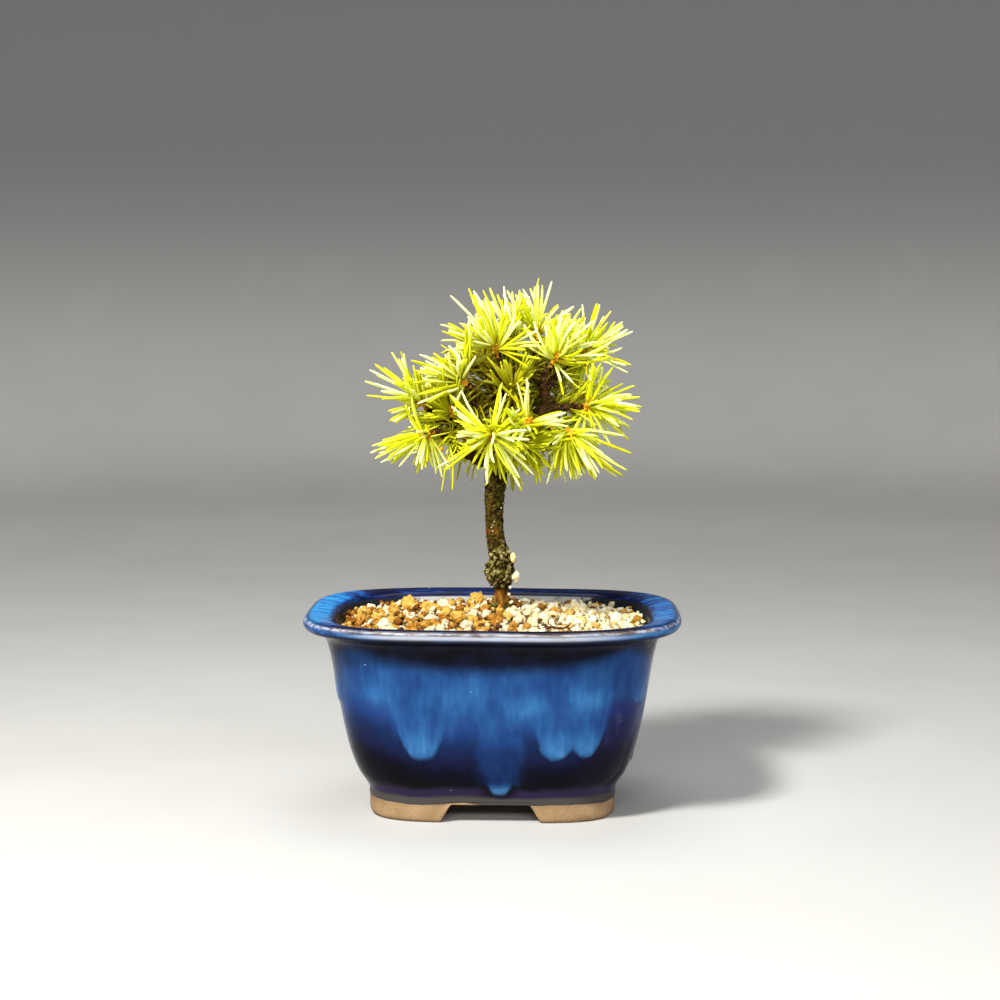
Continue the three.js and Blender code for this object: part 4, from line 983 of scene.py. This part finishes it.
# The chips. Two pale chips of pumice and a few crumbs are caught in the crust on the graft's right side,
# and beads of dry resin sit on the trunk above it.
CHIPS = [((6.0, -2.4, 73.8), 2.5, (0.85, 0.8, 1.2)), ((6.9, -2.5, 67.9), 4.3, (0.64, 0.6, 1.4)),
         ((5.0, -2.2, 65.0), 1.3, 1), ((4.7, -2.0, 62.8), 1.1, 1), ((5.4, -1.6, 60.4), 1.5, 1)]
CHIP_TONES = [0.55, 0.8, 0.85, 0.75, 0.7]
BEADS = [(3.5, 92.9), (2.9, 89.7), (2.3, 88.5), (0.4, 84.5), (-0.4, 82.8), (-0.1, 81.7)]
BEAD_TONE = 0.9
BEAD_SIZE = 0.5
chips = [grain_of_grit(draw, spot, size, 6, 0.22, 3, stretch) for spot, size, stretch in CHIPS]
for x, z in BEADS:
    middle_x, middle_y, _, radius = (np.interp(z, trunk_line[:, 2], trunk_line[:, k]) for k in range(4))
    y = middle_y - math.sqrt(max((radius + 0.1) ** 2 - (x - middle_x) ** 2, 0))
    chips.append(grain_of_grit(draw, (x, y, z), BEAD_SIZE, 6, 0.05, 2))
chip_marks = marks_of_grit(chips, [*CHIP_TONES, *([BEAD_TONE] * len(BEADS))])
new_piece("chips_and_beads", *joined(chips), pumice, "pumice", (), chip_marks)

# The dry bits. A dark rootlet and some flakes of bark lie on the grit round the tree.
ROOTLET = [(16.0, -27.4, 57.0, 0.42), (17.4, -28.0, 57.6, 0.4), (19.0, -28.2, 57.3, 0.36),
           (20.8, -27.6, 57.2, 0.3), (22.2, -26.6, 57.7, 0.24), (22.9, -25.8, 58.4, 0.14)]
FLAKES = [((15.2, -24.6, 57.6), 1.9), ((16, -26.6, 57.4), 1.7), ((14.2, -19.5, 58.2), 1.6),
          ((2.6, -26.4, 57.4), 2.2), ((0.6, -25.6, 57.6), 1.6), ((-9.5, -24.8, 57.2), 1.5),
          ((29.5, 8, 57.4), 1.6)]
rootlet = curve_through(ROOTLET, 4)
bits = [tube(rootlet[:, :3], rootlet[:, 3], 8)]
bits += [grain_of_grit(draw, spot, size, 8, 0.3, 2, (1, 1, 0.6)) for spot, size in FLAKES]
dry = Finish("dry_root_and_bark", IOR=1.4, Roughness=0.8)
dry.paint(Base_Color=dry.ramp(
    dry.grain(0.4, None, 4.0), (0.35, (0.018, 0.006, 0.002)), (0.65, (0.12, 0.04, 0.01))))
new_piece("root_and_bark_bits", *joined(bits), dry, "bark")
# The shoots. Each year's shoot is a short orange-brown stem under papery scales, with a pointed bud at its
# end, and it carries its needles in bundles of five that leave it from small brown sheaths.
FOOT_SPREAD = math.radians(104)
TIP_SPREAD = math.radians(16)
BUNDLES_EACH = 12.5
STEM_OUT = 0.45
LIGHTWARD = 0.33
# The outlines of a shoot's stem, of a sheath and of a bare bud: how far out, and the radius there.
STEM = ((-1.2, 0.8), (0, 0.72), (1.4, 0.7), (2.8, 0.72), (3.8, 0.68), (4.6, 0.4), (5.3, 0.12))
SHEATH = ((-0.4, 0.4), (0.2, 0.5), (0.7, 0.48), (1.15, 0.36))
BUD = ((0, 0.5), (0.12, 0.62), (0.35, 0.8), (0.7, 0.62), (0.92, 0.28), (1, 0.08))
# Bare buds that haven't opened: where each stands, the way it points and its length.
BARE_BUDS = (((-14.2, -5.6, 106.2), (-0.97, -0.1, -0.16), 5.6), ((3.5, -14, 108.6), (0.5, -0.6, 0.4), 3.2),
             ((10.5, 11.6, 110.8), (0.3, 0.6, -0.4), 3.6), ((-1.5, -3.4, 104.9), (-0.6, -0.7, 0.1), 3))


def bundles_of(shoot, random):
    """Each bundle of needles on a shoot: where it leaves the stem, and the way it points."""
    _, at, toward, _, full, _ = shoot
    forward = unit(toward)
    across = unit(np.cross((0.3, 0.5, -0.8), forward))
    up = np.cross(forward, across)
    count = round(BUNDLES_EACH * full)
    lift = LIGHTWARD * smooth_step(at[2], 108, 122) - 0.12 + 0.4 * min(0, forward[2])
    found = []
    for i in range(count):
        share = (i + 0.5) / count
        turn = i * GOLDEN_ANGLE + random.uniform(-0.9, 0.9)
        lean = FOOT_SPREAD + (TIP_SPREAD - FOOT_SPREAD) * share**0.8 + random.uniform(-0.45, 0.45)
        outward = across * math.cos(turn) + up * math.sin(turn)
        way = unit(forward * math.cos(lean) + outward * math.sin(lean) + (0, 0, lift))
        root = np.array(at) + forward * (0.6 + (SHOOT_LENGTH - 0.6) * share) + outward * STEM_OUT
        found.append((root, way))
    return found


stem_parts, stem_tones, sprays = [], [], []


def add_stem(foot, forward, profile, tone):
    run = curve_through([(*(foot + forward * out), radius) for out, radius in profile], 4)
    stem_parts.append(tube(run[:, :3], run[:, 3], 12))
    stem_tones.append(tone)


for number, shoot in enumerate(SHOOTS):
    random = np.random.default_rng(300 + number)
    name, at, toward, length, full, twig = shoot
    add_stem(np.array(at), unit(toward), STEM, random.uniform(0.4, 0.6))
    bundles = bundles_of(shoot, random)
    if name == "top_middle":  # the tree's highest bundle stands upright
        bundles.append((np.array(at) + (0, 0, 4.2), np.array([0.02, -0.04, 1.0])))
    for root, way in bundles:
        outs, radii = zip(*SHEATH)
        stem_parts.append(tube([root + way * out for out in outs], radii, 7))
        stem_tones.append(random.uniform(0.35, 1.0))
    sprays.append((name, bundles, unit(toward), random, length))

for foot, way, length in BARE_BUDS:
    add_stem(np.array(foot), unit(way), [(out * length, radius) for out, radius in BUD], 0.75)

young = Finish("young_shoot_bark", IOR=1.4, Specular_IOR_Level=0.15)
flaky = young.grain(0.5, None, 4.0, 0.65)
young_shade = young.ramp(
    young.mark("tone") * 0.55 + flaky * 0.6, (0.25, (0.09, 0.028, 0.002)), (0.5, (0.4, 0.15, 0.006)),
    (0.72, (0.76, 0.38, 0.015)), (0.95, (0.85, 0.62, 0.06)))
young.paint(Base_Color=young_shade, Roughness=0.55 + flaky * 0.3)
young.relief(flaky, 0.3)
stem_marks = {"tone": tones_of(stem_parts, stem_tones)}
new_piece("shoot_stems_and_buds", *joined(stem_parts), young, "bark", (), stem_marks)

# The needles. Five from each sheath, 6 to 18 mm long and about a millimetre wide, rounded outside and flat
# inside, gently curved, yellow-green with a blunt tip and pale lines of pores on the flat side.
NEEDLE_RADIUS = 0.47
NEEDLE_SHARES = (0, 0.12, 0.3, 0.5, 0.7, 0.86, 0.955, 1)
NEEDLE_WIDTHS = (0.62, 0.9, 1, 1, 0.97, 0.9, 0.7, 0.3)
NEEDLE_SIDES = 6
NEEDLES_IN_BUNDLE = 5
CROWN_MIDDLE = (1.0, 1.0, 122.0)
CROWN_REACH = (38.0, 34.0, 30.0)


def needle(random, root, way, bend, turn, length, splay, width=1.0):
    """One needle of a bundle: its places, faces, how far along it each place is, and its inner side."""
    side = unit(np.cross(way, (0.31, 0.52, 0.79)))
    away = side * math.cos(turn) + np.cross(way, side) * math.sin(turn)
    aim = unit(way + away * splay)
    share = np.array(NEEDLE_SHARES)[:, None]
    bend = bend + away * random.uniform(-0.24, 0.16)
    spine = root + away * 0.2 + way * 0.4 + aim * length * share + bend * length * share**2
    radii = np.array(NEEDLE_WIDTHS) * NEEDLE_RADIUS * width
    places, faces = tube(spine, radii, NEEDLE_SIDES, np.cross(aim, away), 0.78)
    ring = np.repeat(share[:, 0], NEEDLE_SIDES)
    inner = np.tile(np.sin(np.arange(NEEDLE_SIDES) / NEEDLE_SIDES * math.tau), len(share))
    return places, faces, np.concatenate([[0], ring, [1]]), np.concatenate([[0], inner, [0]])


def inner_bundles(random, twig, count):
    """Short thin bundles from former years: where each leaves its twig, and the way it points."""
    run = curve_through(twig, 6)
    found = []
    for _ in range(count):
        k = random.integers(len(run) // 4, len(run) - 1)
        along = unit(run[k + 1, :3] - run[k, :3])
        out = random.normal(size=3) + (0, 0, 0.3)
        out = unit(out - along * (out @ along))
        found.append((run[k, :3] + out * run[k, 3] * 0.7, unit(out + along * random.uniform(0.1, 1.0))))
    return found


leaf = Finish("white_pine_needle", IOR=1.4, Specular_IOR_Level=0.18)
along, inner, tone = leaf.mark("along"), leaf.mark("inner"), leaf.mark("tone")
mottle = leaf.grain(3.0, None, 3.0)
green = leaf.ramp(tone * 0.8 + mottle * 0.2, (0.05, (0.39, 0.35, 0.003)), (0.3, (0.6, 0.63, 0.004)),
                  (0.6, (0.76, 0.83, 0.02)), (0.9, (0.87, 0.93, 0.1)))
pale = along.rise(0.12, 0.8) * tone.rise(0.42, 0.88)
green = leaf.mix(pale * 0.72, green, (0.95, 0.97, 0.55))
green = leaf.mix(inner.rise(0.45, 0.95) * tone.rise(0.5, 0.85) * 0.4, green, (0.95, 0.97, 0.4))
green = leaf.mix(along.rise(0.24, 0.0) * 0.75, green, (0.5, 0.28, 0.012))
# Painted shade inside the crown: needles go darker toward its middle, where the older needles are also
# darker.
colour = leaf.mix(leaf.mark("deep") * 0.9, green, (0.15, 0.11, 0.002))
leaf.paint(Base_Color=colour, Roughness=0.32 + mottle * 0.15)
leaf.relief(leaf.grain(0.3, None, 2.0), 0.05)
twigs = {name: twig for name, *_, twig in SHOOTS}
# Shaded shoots whose needles are less pale, and how many bundles of former years a twig keeps.
OLD_SHOOTS = ("centre", "centre_left", "left_middle", "under_right")
INNER_BUNDLES = 14
FEW_INNER = {"top_right": 3, "right_middle": 4, "centre": 8, "left_lower": 9}
# Boxes round the bare boughs at the right of the crown, from corner to corner, where no needle grows.
BARE_ROOM = (((12.4, -40, 119.5), (17.8, -4.4, 128.6)), ((13.4, -12, 116.8), (23.4, -4.4, 120.4)),
             ((13.4, -40, 118.4), (22, -12, 121.4)))


def in_bare_room(places):
    return any(np.all((places > low) & (places < high), axis=1).any() for low, high in BARE_ROOM)


def spray_piece(name, grown, nodes=()):
    grown = [g for g in grown if not in_bare_room(g[0])]
    parts = [(places, faces) for places, faces, *_ in grown]
    places, faces = joined(parts)
    # deep: painted shade toward the crown's middle, together with the darker older needles there.
    out = np.linalg.norm((places - CROWN_MIDDLE) / CROWN_REACH, axis=1)
    new_piece(name, places, faces, leaf, "needles", nodes, {
        "along": np.concatenate([g[2] for g in grown]), "inner": np.concatenate([g[3] for g in grown]),
        "tone": tones_of(parts, [g[4] for g in grown]), "deep": smooth_step(out, 0.78, 0.32)})


for name, bundles, forward, random, length in sprays:
    grown = []
    palest = 0.55 if name in OLD_SHOOTS else 1
    for root, way in bundles:
        first, bundle_length = random.uniform(0, math.tau), length * random.uniform(0.62, 1.06)
        opening = random.uniform(0.1, 0.52)
        bend = forward * random.uniform(-0.12, 0.24) + random.normal(size=3) * 0.13 + (0, 0, -0.06)
        for k in range(NEEDLES_IN_BUNDLE):
            turn = first + (k + random.uniform(-0.3, 0.3)) * math.tau / NEEDLES_IN_BUNDLE
            splay = opening * random.uniform(0.3, 1.4)
            grown_length = bundle_length * random.uniform(0.8, 1.04)
            one = needle(random, root, way, bend, turn, grown_length, splay)
            grown.append((*one, random.uniform(0.05, palest)))
    for root, way in inner_bundles(random, twigs[name], FEW_INNER.get(name, INNER_BUNDLES)):
        first = random.uniform(0, math.tau)
        for k in range(random.integers(3, 6)):
            grown.append((*needle(random, root, way, way * 0.1, first + k * 1.3, random.uniform(5.5, 11),
                                  random.uniform(0.15, 0.7), 0.66), random.uniform(0, 0.55)))
    spray_piece(f"spray_{name}", grown, [f"needles_{name}"])

# A few thin old needles hang below the crown.
OLD_NEEDLES = [((-13.2, -6, 105.4), (-0.25, -0.15, -1), 11), ((-11.8, -5, 105), (0.1, -0.1, -1), 10.4),
               ((15.6, -6, 107.5), (-0.2, -0.1, -1), 9.4), ((8, 14, 106.5), (0.1, 0.2, -1), 9),
               ((-6, 9, 104.8), (-0.2, 0.3, -1), 8.6)]
OLD_BEND = np.array([-0.08, 0, -0.03])
random = np.random.default_rng(77)
grown = [(*needle(random, np.array(root), unit(way), OLD_BEND, turn, length, 0.1, 0.6), 0.1)
         for turn, (root, way, length) in enumerate(OLD_NEEDLES)]
spray_piece("old_needles", grown)

# The studio. A plain pale floor that curves up behind, soft lights, and the camera at the viewing angle.
FLOOR_RADIUS = 1000
WALL_HEIGHT = 1500
FLOOR_PROFILE = [(20, 0), (700, 0), (900, 40), (FLOOR_RADIUS, 220), (FLOOR_RADIUS, WALL_HEIGHT)]
FLOOR_SIDES = 128
floor_finish = Finish("pale_floor", Roughness=0.6, Specular_IOR_Level=0.2)
paper = floor_finish.grain(60.0, None, 2.0)
pale = floor_finish.ramp(paper, (0.3, (0.43, 0.427, 0.42)), (0.7, (0.45, 0.447, 0.44)))
wall_share = floor_finish.axis(2).rise(10, 260)
floor_finish.paint(Base_Color=floor_finish.mix(wall_share, pale, (0.17, 0.17, 0.175)))
turns = np.arange(FLOOR_SIDES) / FLOOR_SIDES * math.tau
rings = [[(radius * math.cos(turn), radius * math.sin(turn), z) for turn in turns]
         for radius, z in curve_through(FLOOR_PROFILE, 10)]
floor_places = np.vstack([[(0, 0, 0)], *rings, [(0, 0, WALL_HEIGHT)]])
floor = thing("floor", floor_places, skin_of(len(rings), FLOOR_SIDES)[:-FLOOR_SIDES])
floor.data.materials.append(floor_finish.material)

CAMERA_DISTANCE = 609.8
CAMERA_HEIGHT = 157.75
CAMERA_AZIMUTH = math.radians(1.99)
CAMERA_PITCH = math.radians(6.28)
CAMERA_YAW = math.radians(-0.187)
FOCAL_PIXELS = 2078
PICTURE_PIXELS = 1000
SENSOR_WIDTH = 36
camera_data = bpy.data.cameras.new("camera")
camera_data.sensor_width = SENSOR_WIDTH
camera_data.lens = FOCAL_PIXELS / PICTURE_PIXELS * SENSOR_WIDTH
camera = bpy.data.objects.new("camera", camera_data)
camera_x = CAMERA_DISTANCE * math.sin(CAMERA_AZIMUTH)
camera_y = -CAMERA_DISTANCE * math.cos(CAMERA_AZIMUTH)
camera.location = Vector((camera_x, camera_y, CAMERA_HEIGHT)) * MM
camera.rotation_euler = (math.pi / 2 - CAMERA_PITCH, 0, CAMERA_AZIMUTH + CAMERA_YAW)
bpy.context.scene.collection.objects.link(camera)
bpy.context.scene.camera = camera

TARGET = Vector((0, 0, 80)) * MM
LIGHTS = [
    ("key", (-300, -430, 660), 130, 130, 13.0, (1.0, 0.98, 0.92)),
    ("front", (60, -760, 380), 700, 140, 3.8, (1.0, 1.0, 1.0)),
    ("right", (480, -330, 520), 300, 300, 1.2, (0.96, 0.98, 1.0)),
    ("top", (40, 160, 760), 420, 420, 2.2, (1.0, 1.0, 1.0)),
]
for name, place, width, height, power, colour in LIGHTS:
    light = bpy.data.lights.new(name, "AREA")
    light.shape = "RECTANGLE"
    light.size = width * MM
    light.size_y = height * MM
    light.energy = power
    light.color = colour
    lamp = bpy.data.objects.new(name, light)
    lamp.location = Vector(place) * MM
    lamp.rotation_euler = (TARGET - lamp.location).to_track_quat("-Z", "Y").to_euler()
    bpy.context.scene.collection.objects.link(lamp)
world = bpy.data.worlds.new("studio")
world.use_nodes = True
world.node_tree.nodes["Background"].inputs["Color"].default_value = (0.92, 0.92, 0.9, 1)
world.node_tree.nodes["Background"].inputs["Strength"].default_value = 0.12
bpy.context.scene.world = world
bpy.context.scene.view_settings.view_transform = "Standard"
